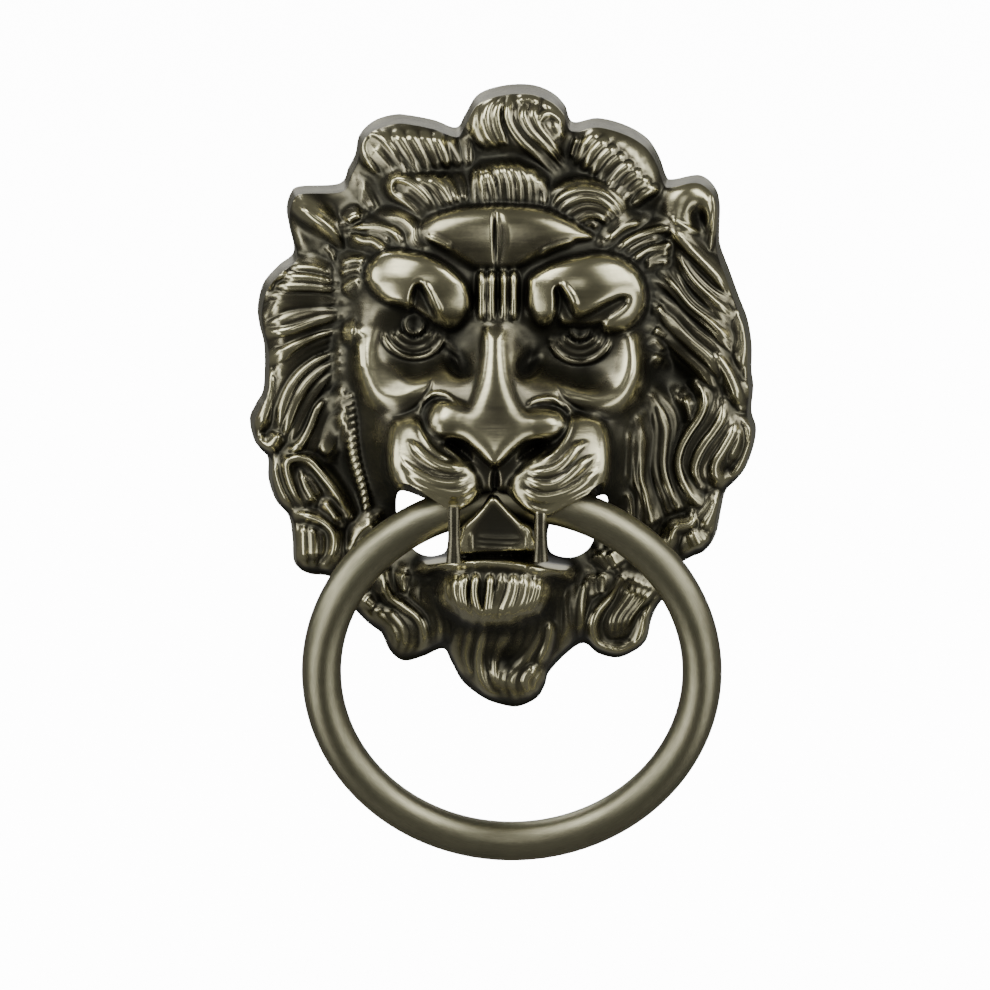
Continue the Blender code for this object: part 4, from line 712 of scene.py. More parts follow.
def blurred(raster, radius):
    """A raster evened out over a radius in millimetres."""
    rows = np.fft.fftfreq(raster.shape[0], RASTER_STEP)[:, None]
    columns = np.fft.rfftfreq(raster.shape[1], RASTER_STEP)[None, :]
    keep = np.exp(-2 * (math.pi * radius) ** 2 * (rows**2 + columns**2))
    return np.fft.irfft2(np.fft.rfft2(raster) * keep, raster.shape)


def sampled(raster, u, w):
    """Values of a raster at drawn places, between its points."""
    column = np.clip((u + RASTER_HALF_WIDTH) / RASTER_STEP, 0, raster.shape[1] - 1.001)
    row = np.clip((w + RASTER_HALF_HEIGHT) / RASTER_STEP, 0, raster.shape[0] - 1.001)
    left = column.astype(int)
    low = row.astype(int)
    s = column - left
    t = row - low
    lower = raster[low, left] * (1 - s) + raster[low, left + 1] * s
    upper = raster[low + 1, left] * (1 - s) + raster[low + 1, left + 1] * s
    return lower * (1 - t) + upper * t


def across_form(form, u, w):
    """How far out from a form's middle each place lies: 1 is its edge."""
    turn = math.radians(form.turn)
    along = (u - form.u) * math.cos(turn) + (w - form.w) * math.sin(turn)
    across = (w - form.w) * math.cos(turn) - (u - form.u) * math.sin(turn)
    return np.hypot(along / form.half_long, across / form.half_short)


def form_depth(form, u, w):
    """Depth of one form, falling away steeply outside its edge."""
    reach = across_form(form, u, w)
    fill = (1 - np.minimum(reach, 1.0) ** form.fullness) ** (1 / form.fullness)
    return form.foot + (form.peak - form.foot) * fill - OUTER_FALL * np.maximum(reach - 1.0, 0.0)


def ground_points():
    """Spot depths of the ground as rows of (u, w, depth), mirrored about the face's middle."""
    points = []
    for height, row in FACE_ROWS:
        for away, depth in row:
            for side in ((1,) if away == 0 else (1, -1)):
                points.append((FACE_MIDDLE + side * away, height - FACE_SHEAR * side * away, depth))
    for turn in np.radians(np.arange(RIM_TURNS) * 360 / RIM_TURNS):
        radius = float(outline_radius(turn))
        for share, depth in RIM_SHARES:
            points.append((radius * share * math.cos(turn), radius * share * math.sin(turn), depth))
    return np.array(points)


def plate_kernel(u, w, points):
    square = (u[:, None] - points[None, :, 0]) ** 2 + (w[:, None] - points[None, :, 1]) ** 2
    return square * np.log(square + 1e-6)


def ground_raster(u, w):
    """A thin-plate surface through the spot depths, worked out coarsely and brought to the fine grid."""
    points = ground_points()
    count = len(points)
    flat = np.column_stack([np.ones(count), points[:, :2]])
    system = np.zeros((count + 3, count + 3))
    system[:count, :count] = plate_kernel(points[:, 0], points[:, 1], points) + GROUND_SLACK * np.eye(count)
    system[:count, count:] = flat
    system[count:, :count] = flat.T
    weights = np.linalg.solve(system, np.concatenate([points[:, 2], np.zeros(3)]))
    skip = GROUND_SKIP
    coarse_u, coarse_w = u[::skip, ::skip], w[::skip, ::skip]
    values = plate_kernel(coarse_u.ravel(), coarse_w.ravel(), points) @ weights[:count]
    level, slope_u, slope_w = weights[count:]
    values = values + level + slope_u * coarse_u.ravel() + slope_w * coarse_w.ravel()
    values = values.reshape(coarse_u.shape)
    rows = np.array([np.interp(u[0], coarse_u[0], row) for row in values])
    columns = np.array([np.interp(w[:, 0], coarse_w[:, 0], column) for column in rows.T]).T
    return blurred(columns, GROUND_SKIP * RASTER_STEP / 2)


def add_rolls(depth, u, w):
    for roll in ROLLS:
        line = smooth_line(roll.spine)
        here = window(line, line[:, 2].max() + 0.5)
        dist, share, (half, peak) = nearest_on(line, u[here], w[here])
        x = np.minimum(dist / half, 1.0)
        height = roll.foot + (peak - roll.foot) * (1 - x**roll.fullness) ** (1 / roll.fullness)
        depth[here] = np.where(x < 1, softer_max(depth[here], height, 0.8), depth[here])


def inside_loop(loop, u, w):
    """Whether each place lies inside a closed line."""
    inside = np.zeros(u.shape, bool)
    for a, b in zip(loop, np.roll(loop, -1, axis=0)):
        if a[1] == b[1]:
            continue
        crosses = (a[1] > w) != (b[1] > w)
        inside ^= crosses & (u < (b[0] - a[0]) * (w - a[1]) / (b[1] - a[1]) + a[0])
    return inside


def add_pads(depth, u, w):
    for pad in PADS:
        loop = closed_line(pad.outline)
        here = window(loop, 0.4)
        near_u, near_w = u[here], w[here]
        inside = inside_loop(loop, near_u, near_w)
        dist, _, _ = nearest_on(np.vstack([loop, loop[:1]]), near_u, near_w)
        even = np.where(inside, dist, -dist)
        spread = np.clip(blurred(np.pad(even, PAD_BORDER, mode="edge"), PAD_SOFTENING), 0, None)
        spread = spread[PAD_BORDER:-PAD_BORDER, PAD_BORDER:-PAD_BORDER]
        share = np.clip(dist / pad.width, 0, 1)
        x = np.clip((np.where(inside, dist, 0) * (1 - share) + spread * share) / pad.width, 0, 1)
        top = pad.top + pad.rise_u * (near_u - pad.u) + pad.rise_w * (near_w - pad.w)
        away = ((near_u - pad.u) / pad.half_u) ** 2 + ((near_w - pad.w) / pad.half_w) ** 2
        height = top - pad.dome * away - pad.drop * (1 - np.sqrt(1 - (1 - x) ** 2))
        depth[here] = np.where(inside, softer_max(depth[here], height, 0.7), depth[here])


def forms_raster(u, w):
    """Depth of the relief's forms, without hair and cuts."""
    depth = ground_raster(u, w)
    for form in MANE_FORMS + FACE_FORMS:
        depth = softer_max(depth, form_depth(form, u, w))
    for bowl in BOWLS:
        reach = across_form(bowl, u, w)
        floor_depth = bowl.floor + (bowl.rim - bowl.floor) * reach**2
        depth = np.where(reach < 1.3, -softer_max(-depth, -floor_depth, 0.8), depth)
    add_rolls(depth, u, w)
    depth = blurred(depth, GROUND_SOFTENING)
    add_pads(depth, u, w)
    depth = blurred(depth, FORM_SOFTENING)
    for eye_u, eye_w, ball, _ in EYES:
        away = np.hypot(u - eye_u, w - eye_w)
        dome = EYE_DEPTH + np.sqrt(np.maximum(ball**2 - away**2, 0.0))
        dome = dome - PUPIL_DEPTH * np.clip(1 - (away / PUPIL_RADIUS) ** 2, 0, 1)
        depth = np.where(away < ball, np.maximum(depth, dome), depth)
    share = np.hypot(u, w) / outline_radius(np.arctan2(w, u))
    return EDGE_DEPTH + (depth - EDGE_DEPTH) * (1 - np.minimum(share, 1.0) ** EDGE_SHARPNESS)


def with_width(line, half_width):
    """A line's points with one half width beside each."""
    return np.column_stack([line, np.full(len(line), half_width)])


def all_ridges():
    """Every ridge as a line of (u, w, half width) points with its height and lift."""
    ridges = []
    for ridge in RIDGES:
        line = smooth_line(ridge.points)
        ridges.append((with_width(line, ridge.half_width), ridge.height, ridge.lift))
    for fan in FANS:
        first = smooth_line(fan.first)
        last = smooth_line(fan.last)
        gap = np.hypot(*(last - first).T) / (fan.count - 1)
        for k in range(fan.count):
            share = k / (fan.count - 1)
            line = first + (last - first) * share
            crown = 0.75 + 0.25 * (1 - (2 * share - 1) ** 2)
            uneven = 1 - STRAND_VARIETY * (1 + math.cos(STRAND_RHYTHM * k))
            strand = np.column_stack([line, STRAND_SHARE * gap])
            ridges.append((strand, fan.height * uneven, fan.lift * crown))
    path = smooth_line(TWIST_PATH)
    lengths = np.concatenate([[0], np.cumsum(np.hypot(*np.diff(path, axis=0).T))])
    for place_on in np.arange(0, lengths[-1], TWIST_STEP):
        u = np.interp(place_on, lengths, path[:, 0])
        w = np.interp(place_on, lengths, path[:, 1])
        reach = TWIST_REACH - TWIST_NARROWING * place_on / lengths[-1]
        line = smooth_line(((u - reach, w - TWIST_RISE), (u, w - TWIST_SAG), (u + reach, w + TWIST_RISE)))
        ridges.append((with_width(line, TWIST_HALF_WIDTH), TWIST_HEIGHT, 0.0))
    for u, w, ball, rings in EYES:
        for radius in rings:
            turns = np.radians(np.linspace(EYE_RING_START, EYE_RING_END, EYE_RING_POINTS))
            line = np.column_stack([u + radius * np.cos(turns), w + radius * np.sin(turns)])
            ridges.append((with_width(line, EYE_RING_HALF_WIDTH), EYE_RING_HEIGHT, 0.0))
    return ridges


def bare_share(u, w):
    """Where hair may grow: 0 on the forehead and the brows, 1 elsewhere, with a soft edge."""
    bare = np.zeros_like(u)
    for pad in BROW_PADS:
        loop = closed_line(pad.outline)
        here = window(loop, 0.4)
        bare[here] = np.maximum(bare[here], inside_loop(loop, u[here], w[here]))
    return 1 - blurred(bare, HAIRLINE)


def ridge_bumps(u, w):
    """Height of the hair and skin ridges over the forms; where ridges meet, the higher one shows."""
    bumps = np.zeros_like(u)
    hair = bare_share(u, w)
    for line, top, lift in all_ridges():
        here = window(line, line[:, 2].max() + 2 * LIFT_FALL)
        dist, share, (half,) = nearest_on(line, u[here], w[here])
        end = np.minimum(share, 1 - share)
        taper = np.sin(0.5 * math.pi * np.clip(0.03 + end / TIP_SHARE, 0, 1))
        half = half * (0.2 + 0.8 * taper)
        x = np.minimum(dist / half, 1)
        height = top * np.minimum(1.0, half / 0.75) * taper * np.sqrt(1 - x**2)
        past = np.maximum(dist - half, 0) / LIFT_FALL
        height = height + lift * (0.75 + 0.25 * taper) * np.exp(-past**2)
        if lift > 0:
            height = height * hair[here]
        bumps[here] = np.maximum(bumps[here], height)
    return bumps


def cut_depths(u, w):
    """Depth of the cut lines under the forms."""
    cuts = np.zeros_like(u)
    for cut in CUTS:
        line = smooth_line(cut.points)
        here = window(line, 1.5 * cut.half_width)
        dist, share, _ = nearest_on(line, u[here], w[here])
        taper = np.sin(math.pi * np.clip(share, 0.02, 0.98)) ** 0.6
        x = np.minimum(dist / (1.5 * cut.half_width * taper), 1)
        cuts[here] = np.maximum(cuts[here], cut.depth * taper * (1 - x) ** 1.3)
    return cuts


def relief_rasters():
    """The forms alone, and the carved front."""
    u, w = raster_places()
    forms = forms_raster(u, w)
    share = np.hypot(u, w) / outline_radius(np.arctan2(w, u))
    inside = np.clip((1 - share) * 40, 0, 1)
    front = forms + ridge_bumps(u, w) * inside - cut_depths(u, w)
    return forms, blurred(front, RELIEF_SOFTENING)


# Meshes of the head

def place(u, w, depth):
    """Drawn points at a depth in front of the door, in metres."""
    return np.stack([u, -depth, (w + depth * TILT_SIN) / TILT_COS], axis=-1) * MM


def disc_grid(rings):
    """Share of the radius and angle of a square grid's points when the grid is pressed into a disc."""
    line = np.linspace(-1, 1, 2 * rings + 1)
    a, b = np.meshgrid(line, line)
    across = a * np.sqrt(1 - b**2 / 2)
    up = b * np.sqrt(1 - a**2 / 2)
    return np.hypot(across, up), np.arctan2(up, across)


def once_round(grid):
    """The border of a square array, once round."""
    return np.concatenate([grid[0, :-1], grid[:-1, -1], grid[-1, :0:-1], grid[:0:-1, 0]])


def cells(numbers):
    """The four corners of every cell of an array of point numbers."""
    corners = (numbers[:-1, :-1], numbers[:-1, 1:], numbers[1:, 1:], numbers[1:, :-1])
    return np.stack(corners, axis=-1).reshape(-1, 4)


def hollow_depth(forms, u, w):
    """Depth of the cored-out back: a wall's thickness inside the relief on every side."""
    depth = sampled(forms, u, w) - WALL
    for turn in np.radians(np.arange(0, 360, 45)):
        beside = sampled(forms, u + WALL * math.cos(turn), w + WALL * math.sin(turn))
        depth = np.minimum(depth, beside - WALL / 2)
    past_mouth = np.hypot(u, w - MOUTH_MIDDLE) - MOUTH_REACH
    core = MOUTH_CORE_DEPTH + np.clip(past_mouth, 0.0, CORE_DEPTH - MOUTH_CORE_DEPTH)
    return np.clip(depth, LEAST_HOLLOW, core)


def head_shell(forms, raster):
    """The head as a closed shell: a fine carved front, a skirt, a flat rear rim and a coarser hollow."""
    share, angle = disc_grid(FRONT_RINGS)
    radius = share * (outline_radius(angle) - EDGE_DRAFT)
    u = radius * np.cos(angle)
    w = radius * np.sin(angle) - EDGE_DEPTH * TILT_SIN
    depth = sampled(raster, u, w)
    edge = np.zeros(depth.shape, bool)
    edge[[0, -1], :] = True
    edge[:, [0, -1]] = True
    depth[edge] = EDGE_DEPTH
    front = place(u, w, depth).reshape(-1, 3)
    front_numbers = np.arange(len(front)).reshape(share.shape)

    edge_angle = once_round(angle)
    edge_radius = outline_radius(edge_angle)
    edge_u = edge_radius * np.cos(edge_angle)
    edge_w = edge_radius * np.sin(edge_angle)
    base = place(edge_u, edge_w, np.zeros(len(edge_angle)))
    base_numbers = len(front) + np.arange(len(base))

    share, angle = disc_grid(BACK_RINGS)
    inner = outline_radius(angle) - RIM_WIDTH
    rim = np.zeros(share.shape, bool)
    rim[[0, -1], :] = True
    rim[:, [0, -1]] = True
    radius = np.where(rim, inner, share * (inner - CORE_DRAFT))
    u = radius * np.cos(angle)
    w = radius * np.sin(angle)
    back = place(u, w, np.where(rim, 0.0, hollow_depth(forms, u, w))).reshape(-1, 3)
    back_numbers = len(front) + len(base) + np.arange(len(back)).reshape(share.shape)

    faces = cells(front_numbers).tolist() + cells(back_numbers)[:, ::-1].tolist()
    edge_numbers = once_round(front_numbers)
    inner_numbers = once_round(back_numbers)
    step = FRONT_RINGS // BACK_RINGS
    count = len(edge_numbers)
    for k in range(count):
        following = (k + 1) % count
        faces.append((edge_numbers[following], edge_numbers[k], base_numbers[k], base_numbers[following]))
        nearest = inner_numbers[((k + step // 2) // step) % len(inner_numbers)]
        faces.append((base_numbers[following], base_numbers[k], nearest))
    for k in range(len(inner_numbers)):
        following = (k + 1) % len(inner_numbers)
        middle = base_numbers[k * step + step // 2]
        faces.append((middle, inner_numbers[k], inner_numbers[following]))
    return mesh_of("head", np.vstack([front, base, back]), faces)


def mesh_of(name, points, faces):
    mesh = bpy.data.meshes.new(name)
    mesh.from_pydata(np.asarray(points).tolist(), [], [tuple(int(n) for n in face) for face in faces])
    mesh.update()
    return mesh


def add_object(name, mesh, material=None):
    thing = bpy.data.objects.new(name, mesh)
    bpy.context.scene.collection.objects.link(thing)
    if material:
        mesh.materials.append(material)
    return thing


def turned_shape(name, profile, sides, start, shape=None):
    """A closed piece turned round +Y from (radius, distance along) points; shape can change the radius."""
    turns = np.arange(sides) * 2 * math.pi / sides
    points = []
    for radius, along in profile:
        radii = np.full(sides, radius) if shape is None else shape(radius, along, turns)
        rows = np.stack([radii * np.cos(turns), np.full(sides, along), radii * np.sin(turns)], axis=-1)
        points.append(rows)
    count = len(profile)
    points = np.concatenate(points + [np.array([[0, profile[0][1], 0], [0, profile[-1][1], 0]])])
    points = (points + np.array(start)) * MM
    faces = []
    for row in range(count - 1):
        for side in range(sides):
            following = (side + 1) % sides
            faces.append((row * sides + side, (row + 1) * sides + side, (row + 1) * sides + following,
                          row * sides + following))
    first_middle = count * sides
    for side in range(sides):
        following = (side + 1) % sides
        last = (count - 1) * sides
        faces.append((first_middle, side, following))
        faces.append((first_middle + 1, last + following, last + side))
    return mesh_of(name, points, faces)


def drawn_prism(name, points, low, high):
    """A prism with a smooth drawn outline, run along the drawing's line of sight between two depths."""
    loop = smooth_line(points[-2:] + points + points[:2], PRISM_STEPS)[2 * PRISM_STEPS:-2 * PRISM_STEPS]
    u, w = loop[:-1].T if np.allclose(loop[0], loop[-1]) else loop.T
    count = len(u)
    middle = w.mean()
    sight = []
    for depth in (low, high):
        along = (depth + middle * TILT_SIN) / TILT_COS
        y = -along * TILT_COS + w * TILT_SIN
        z = w * TILT_COS + along * TILT_SIN
        sight.append(np.stack([u, y, z], axis=-1))
    points = np.vstack(sight) * MM
    faces = [tuple(range(count))[::-1], tuple(range(count, 2 * count))]
    for k in range(count):
        following = (k + 1) % count
        faces.append((k, following, count + following, count + k))
    return add_object(name, mesh_of(name, points, faces))


def ring_drop(x):
    """How far the rod's centre lies from the hinge line at a place across."""
    return RING_RADIUS - math.sqrt(RING_RADIUS**2 - (x - RING_OFFSET) ** 2)


def lift_direction(degrees):
    """Unit vector from the hinge line to the ring's middle after a lift, as (y, z)."""
    turn = math.radians(degrees - RING_LEAN)
    return -math.sin(turn), -math.cos(turn)


def channel_point(x, turn, room_share=1.0):
    """A point of the room that the rod sweeps in the mouth, on the section at x."""
    drop = ring_drop(x)
    slant = math.sqrt(1 - ((x - RING_OFFSET) / RING_RADIUS) ** 2)
    room = (CAD_ROD_RADIUS / slant + RING_CLEARANCE) * room_share
    held = min(max(turn, 0.0), RING_LIFT)
    centre_y, centre_z = lift_direction(held)
    side_y, side_z = lift_direction(turn)
    y = -MOUTH_DEPTH + drop * centre_y + room * side_y
    z = RING_HEIGHT + drop * centre_z + room * side_z
    return (x, y, z)


def ring_channel():
    """The room that the ring needs in the mouth through its whole swing."""
    points = []
    for station in range(CHANNEL_STATIONS + 1):
        x = RING_OFFSET + CHANNEL_REACH * (2 * station / CHANNEL_STATIONS - 1)
        for side in range(CHANNEL_SIDES):
            points.append(channel_point(x, RING_LIFT / 2 - 180 + 360 * side / CHANNEL_SIDES))
    faces = []
    for station in range(CHANNEL_STATIONS):
        for side in range(CHANNEL_SIDES):
            following = (side + 1) % CHANNEL_SIDES
            low, high = station * CHANNEL_SIDES, (station + 1) * CHANNEL_SIDES
            faces.append((low + side, low + following, high + following, high + side))
    last = CHANNEL_STATIONS * CHANNEL_SIDES
    faces.append(tuple(range(CHANNEL_SIDES))[::-1])
    faces.append(tuple(range(last, last + CHANNEL_SIDES)))
    return add_object("ring_channel", mesh_of("ring_channel", np.array(points) * MM, faces))


def fang_depth(x):
    """Depth of a tooth's centre line, clear in front of the rod."""
    return MOUTH_DEPTH + ring_drop(x) + CAD_ROD_RADIUS + RING_CLEARANCE + FANG_DIAMETER / 2


def fang(name, x):
    """A tooth in front of the rod, a little waisted, from the upper lip down into the lower lip."""
    radius = FANG_DIAMETER / 2
    length = FANG_TOP - FANG_FOOT
    profile = [(radius * size, length * share) for share, size in FANG_PROFILE]
    mesh = turned_shape(name, profile, ROUND_SIDES, (0, 0, 0))
    mesh.transform(Matrix.Rotation(math.radians(90), 4, "X"))
    mesh.transform(Matrix.Translation(Vector((x, -fang_depth(x), FANG_FOOT)) * MM))
    return add_object(name, mesh)


def cylinder(name, diameter, start, length):
    radius = diameter / 2
    return add_object(name, turned_shape(name, [(radius, 0.0), (radius, length)], ROUND_SIDES, start))


def facing_out(mesh):
    """Turns every face outwards."""
    working = bmesh.new()
    working.from_mesh(mesh)
    bmesh.ops.recalc_face_normals(working, faces=working.faces)
    working.to_mesh(mesh)
    working.free()


def carve(thing, pieces):
    """Applies Boolean steps to a piece, each given as (operation, cutter), and removes the cutters."""
    for operation, cutter in pieces:
        facing_out(cutter.data)
        modifier = thing.modifiers.new(cutter.name, "BOOLEAN")
        modifier.operation = operation
        modifier.solver = "MANIFOLD"
        modifier.object = cutter
    graph = bpy.context.evaluated_depsgraph_get()
    mesh = bpy.data.meshes.new_from_object(thing.evaluated_get(graph))
    thing.modifiers.clear()
    thing.data = mesh
    for _, cutter in pieces:
        bpy.data.objects.remove(cutter, do_unlink=True)


def store_patina_and_painted_light(mesh, raster):
    """Stores on each point how far it stands out of its surroundings: 0 in recesses, 1 on rubbed edges;
    painted shade darkens the eyes and the mouth's wall, and the skirt takes a fixed lighter value as a
    painted sheen.
    """
    count = len(mesh.vertices)
    points = np.empty(3 * count, np.float32)
    mesh.vertices.foreach_get("co", points)
    points = points.reshape(-1, 3).astype(float) / MM
    depth = -points[:, 1]
    u = points[:, 0]
    w = points[:, 2] * TILT_COS - depth * TILT_SIN
    fine = sampled(raster - blurred(raster, FINE_BLUR), u, w)
    broad = sampled(blurred(raster, FINE_BLUR) - blurred(raster, BROAD_BLUR), u, w)
    on_front = np.abs(sampled(raster, u, w) - depth) < FRONT_TOLERANCE
    patina_and_painted_light = 0.5 + FINE_GAIN * fine + BROAD_GAIN * broad
    skirt = (depth < EDGE_DEPTH + 0.5) & (depth > -0.5) & ~on_front
    # painted shade: each eye is darkened in colour
    for eye_u, eye_w, ball, _ in EYES:
        patina_and_painted_light = patina_and_painted_light - EYE_PAINTED_SHADE * np.exp(-np.hypot(u - eye_u, w - eye_w) ** 2 / ball**2)
    # painted shade: the mouth's wall is darkened in colour
    for wall in MOUTH_WALL:
        patina_and_painted_light = patina_and_painted_light - MOUTH_WALL_PAINTED_SHADE * inside_loop(closed_line(wall.outline), u, w)
    # the skirt takes a fixed lighter value, a painted sheen; inside faces and fangs take plain values
    patina_and_painted_light = np.where(on_front, patina_and_painted_light, np.where(skirt, SKIRT_PAINTED_SHEEN, INSIDE_RAISED))
    for x in FANG_PLACES:
        on_fang = np.hypot(points[:, 0] - x, depth - fang_depth(x)) < FANG_DIAMETER / 2 + 0.1
        patina_and_painted_light = np.where(on_fang & ~on_front, FANG_RAISED, patina_and_painted_light)
    attribute = mesh.attributes.new("patina_and_painted_light", "FLOAT", "POINT")
    attribute.data.foreach_set("value", np.clip(patina_and_painted_light, 0, 1).astype(np.float32))


def head_casting(material):
    """The cast head with its mouth, fangs and stud bosses."""
    forms, raster = relief_rasters()
    head = add_object("lion_head", head_shell(forms, raster), material)
    steps = []
    for height in STUD_HEIGHTS:
        seen_height = np.array([height * TILT_COS - BOSS_SIGHT_DEPTH * TILT_SIN])
        depth = float(sampled(forms, np.zeros(1), seen_height)[0]) - BOSS_COVER
        steps.append(("UNION", cylinder("boss", BOSS_DIAMETER, (0, -depth, height), depth)))
    steps.append(("DIFFERENCE", ring_channel()))
    for number, points in enumerate(MOUTH_HOLES):
        hole = drawn_prism(f"mouth_hole_{number}", points, -HOLE_OVERSHOOT, RELIEF_DEPTH)
        steps.append(("DIFFERENCE", hole))
    for height in STUD_HEIGHTS:
        start = (0, -STUD_ENGAGEMENT, height)
        length = STUD_ENGAGEMENT + OVERSHOOT
        steps.append(("DIFFERENCE", cylinder("stud_hole", STUD_DIAMETER + 2 * FIT, start, length)))
    for number, x in enumerate(FANG_PLACES):
        steps.append(("UNION", fang(f"fang_{number}", x)))
    facing_out(head.data)
    carve(head, steps)
    store_patina_and_painted_light(head.data, raster)
    head.data.shade_smooth()
    head.data.set_sharp_from_angle(angle=math.radians(HEAD_SHARP))
    return head


# The ring and the fixings

def knocker_ring(material):
    """The ring, hung from the hinge line through the rod's centre in the mouth."""
    around = np.arange(RING_STEPS) * 2 * math.pi / RING_STEPS
    section = np.arange(ROD_SIDES) * 2 * math.pi / ROD_SIDES
    turn, side = np.meshgrid(around, section, indexing="ij")
    reach = RING_RADIUS + ROD_RADIUS * np.cos(side)
    x = reach * np.sin(turn)
    y = ROD_RADIUS * np.sin(side)
    z = reach * np.cos(turn) - RING_RADIUS
    points = np.stack([x, y, z], axis=-1)
    numbers = np.arange(points[..., 0].size).reshape(turn.shape)
    numbers = np.pad(numbers, ((0, 1), (0, 1)), mode="wrap")
    mesh = mesh_of("ring", points.reshape(-1, 3) * MM, cells(numbers))
    lengths = mesh.attributes.new("along", "FLOAT", "POINT")
    lengths.data.foreach_set("value", turn.ravel().astype(np.float32))
    sides = mesh.attributes.new("around", "FLOAT", "POINT")
    sides.data.foreach_set("value", side.ravel().astype(np.float32))
    mesh.transform(Matrix.Rotation(math.radians(RING_LEAN), 4, "X"))
    mesh.transform(Matrix.Translation(Vector((RING_OFFSET, -MOUTH_DEPTH, RING_HEIGHT)) * MM))
    facing_out(mesh)
    mesh.shade_smooth()
    return add_object("ring", mesh, material)


def thread_radius(radius, along, turns):
    """Radius of a screw thread that fades out at the stud's ends."""
    phase = (along / THREAD_PITCH - turns / (2 * math.pi)) % 1.0
    ridge = np.abs(2 * phase - 1)
    return np.full(len(turns), radius) - THREAD_DEPTH * ridge * (radius > STUD_DIAMETER / 2 - 0.01)


def stud(side, height, material):
    """A threaded stud from the boss, through the door, into the nut."""
    length = STUD_ENGAGEMENT - FIT + DOOR_THICKNESS + WASHER_THICKNESS + STUD_TAIL
    radius = STUD_DIAMETER / 2
    rows = int(length / THREAD_PITCH * THREAD_ROWS)
    profile = [(radius - 0.8, 0.0)]
    profile += [(radius, along) for along in np.linspace(0.7, length - 0.7, rows)]
    profile.append((radius - 0.8, length))
    mesh = turned_shape("stud", profile, ROUND_SIDES, (0, -(STUD_ENGAGEMENT - FIT), height), thread_radius)
    facing_out(mesh)
    mesh.shade_smooth()
    mesh.set_sharp_from_angle(angle=math.radians(35))
    return add_object("threaded_stud_" + side, mesh, material)


def washer(side, height, material):
    """A flat washer with eased edges."""
    outer = WASHER_DIAMETER / 2
    inner = STUD_DIAMETER / 2 + FIT
    ease = 0.25
    thick = WASHER_THICKNESS
    profile = ((inner, ease), (inner + ease, 0.0), (outer - ease, 0.0), (outer, ease),
               (outer, thick - ease), (outer - ease, thick), (inner + ease, thick), (inner, thick - ease))
    turns = np.arange(WASHER_SIDES) * 2 * math.pi / WASHER_SIDES
    points = []
    for radius, along in profile:
        points.append(np.stack([radius * np.cos(turns), np.full(len(turns), DOOR_THICKNESS + along),
                                radius * np.sin(turns) + height], axis=-1))
    numbers = np.arange(len(profile) * WASHER_SIDES).reshape(len(profile), WASHER_SIDES)
    numbers = np.pad(numbers, ((0, 1), (0, 1)), mode="wrap")
    mesh = mesh_of("washer", np.concatenate(points) * MM, cells(numbers))
    facing_out(mesh)
    mesh.shade_smooth()
    mesh.set_sharp_from_angle(angle=math.radians(30))
    return add_object("flat_washer_" + side, mesh, material)


def nut_radius(radius, along, turns):
    """Radius of the nut's section: a hexagon where the profile is wide, round elsewhere."""
    if radius <= NUT_ROUND:
        return np.full(len(turns), radius)
    flat = NUT_ACROSS_FLATS / 2
    hexagon = flat / np.cos((turns + math.pi / 6) % (math.pi / 3) - math.pi / 6)
    return np.minimum(hexagon, radius)


def dome_nut(side, height, material):
    """A hexagon nut with a closed dome, screwed on to the stud's end."""
    flat = NUT_ACROSS_FLATS / 2
    corner = flat / math.cos(math.radians(30))
    bore = STUD_DIAMETER / 2 + FIT
    bore_end = STUD_TAIL
    dome = flat - DOME_STEP
    profile = [(bore * 0.5, bore_end), (bore, bore_end), (bore, 0.4), (bore + 0.4, 0.0), (flat - 0.1, 0.0)]
    profile += [(corner, 0.5), (corner, NUT_HEIGHT - 0.5), (flat - 0.05, NUT_HEIGHT)]
    profile.append((dome, NUT_HEIGHT))
    for step in np.linspace(0, 88, DOME_RINGS):
        turn = math.radians(step)
        rise = DOME_HEIGHT * math.sin(turn) - DOME_STEP * math.sin(turn)
        profile.append((dome * math.cos(turn), NUT_HEIGHT + rise))
    seat = DOOR_THICKNESS + WASHER_THICKNESS + FIT
    mesh = turned_shape("nut", profile, NUT_SIDES, (0, seat, height), nut_radius)
    facing_out(mesh)
    mesh.shade_smooth()
    mesh.set_sharp_from_angle(angle=math.radians(25))
    return add_object("dome_nut_" + side + "_finished", mesh, material)


# Materials

def nodes_of(name):
    """A new material with its node tree and its surface shader."""
    material = bpy.data.materials.new(name)
    material.use_nodes = True
    tree = material.node_tree
    return material, tree, tree.nodes["Principled BSDF"]


def node(tree, kind, **settings):
    """A new node with some of its settings."""
    made = tree.nodes.new(kind)
    for key, value in settings.items():
        setattr(made, key, value)
    return made


def ramp(tree, source, stops):
    """A colour ramp from (place, colour) stops."""
    made = tree.nodes.new("ShaderNodeValToRGB")
    elements = made.color_ramp.elements
    while len(elements) < len(stops):
        elements.new(0.5)
    for element, (place_on, colour) in zip(elements, stops):
        element.position = place_on
        element.color = (*colour, 1.0) if len(colour) == 3 else colour
    tree.links.new(source, made.inputs["Fac"])
    return made.outputs["Color"]


def scaled_places(tree, scale):
    """Object coordinates stretched by a scale on each axis."""
    coordinates = tree.nodes.new("ShaderNodeTexCoord")
    mapping = tree.nodes.new("ShaderNodeMapping")
    mapping.inputs["Scale"].default_value = scale
    tree.links.new(coordinates.outputs["Object"], mapping.inputs["Vector"])
    return mapping.outputs["Vector"]


def noise(tree, vector, scale, detail=4.0, roughness=0.6):
    made = tree.nodes.new("ShaderNodeTexNoise")
    made.inputs["Scale"].default_value = scale
    made.inputs["Detail"].default_value = detail
    made.inputs["Roughness"].default_value = roughness
    tree.links.new(vector, made.inputs["Vector"])
    return made.outputs["Fac"]


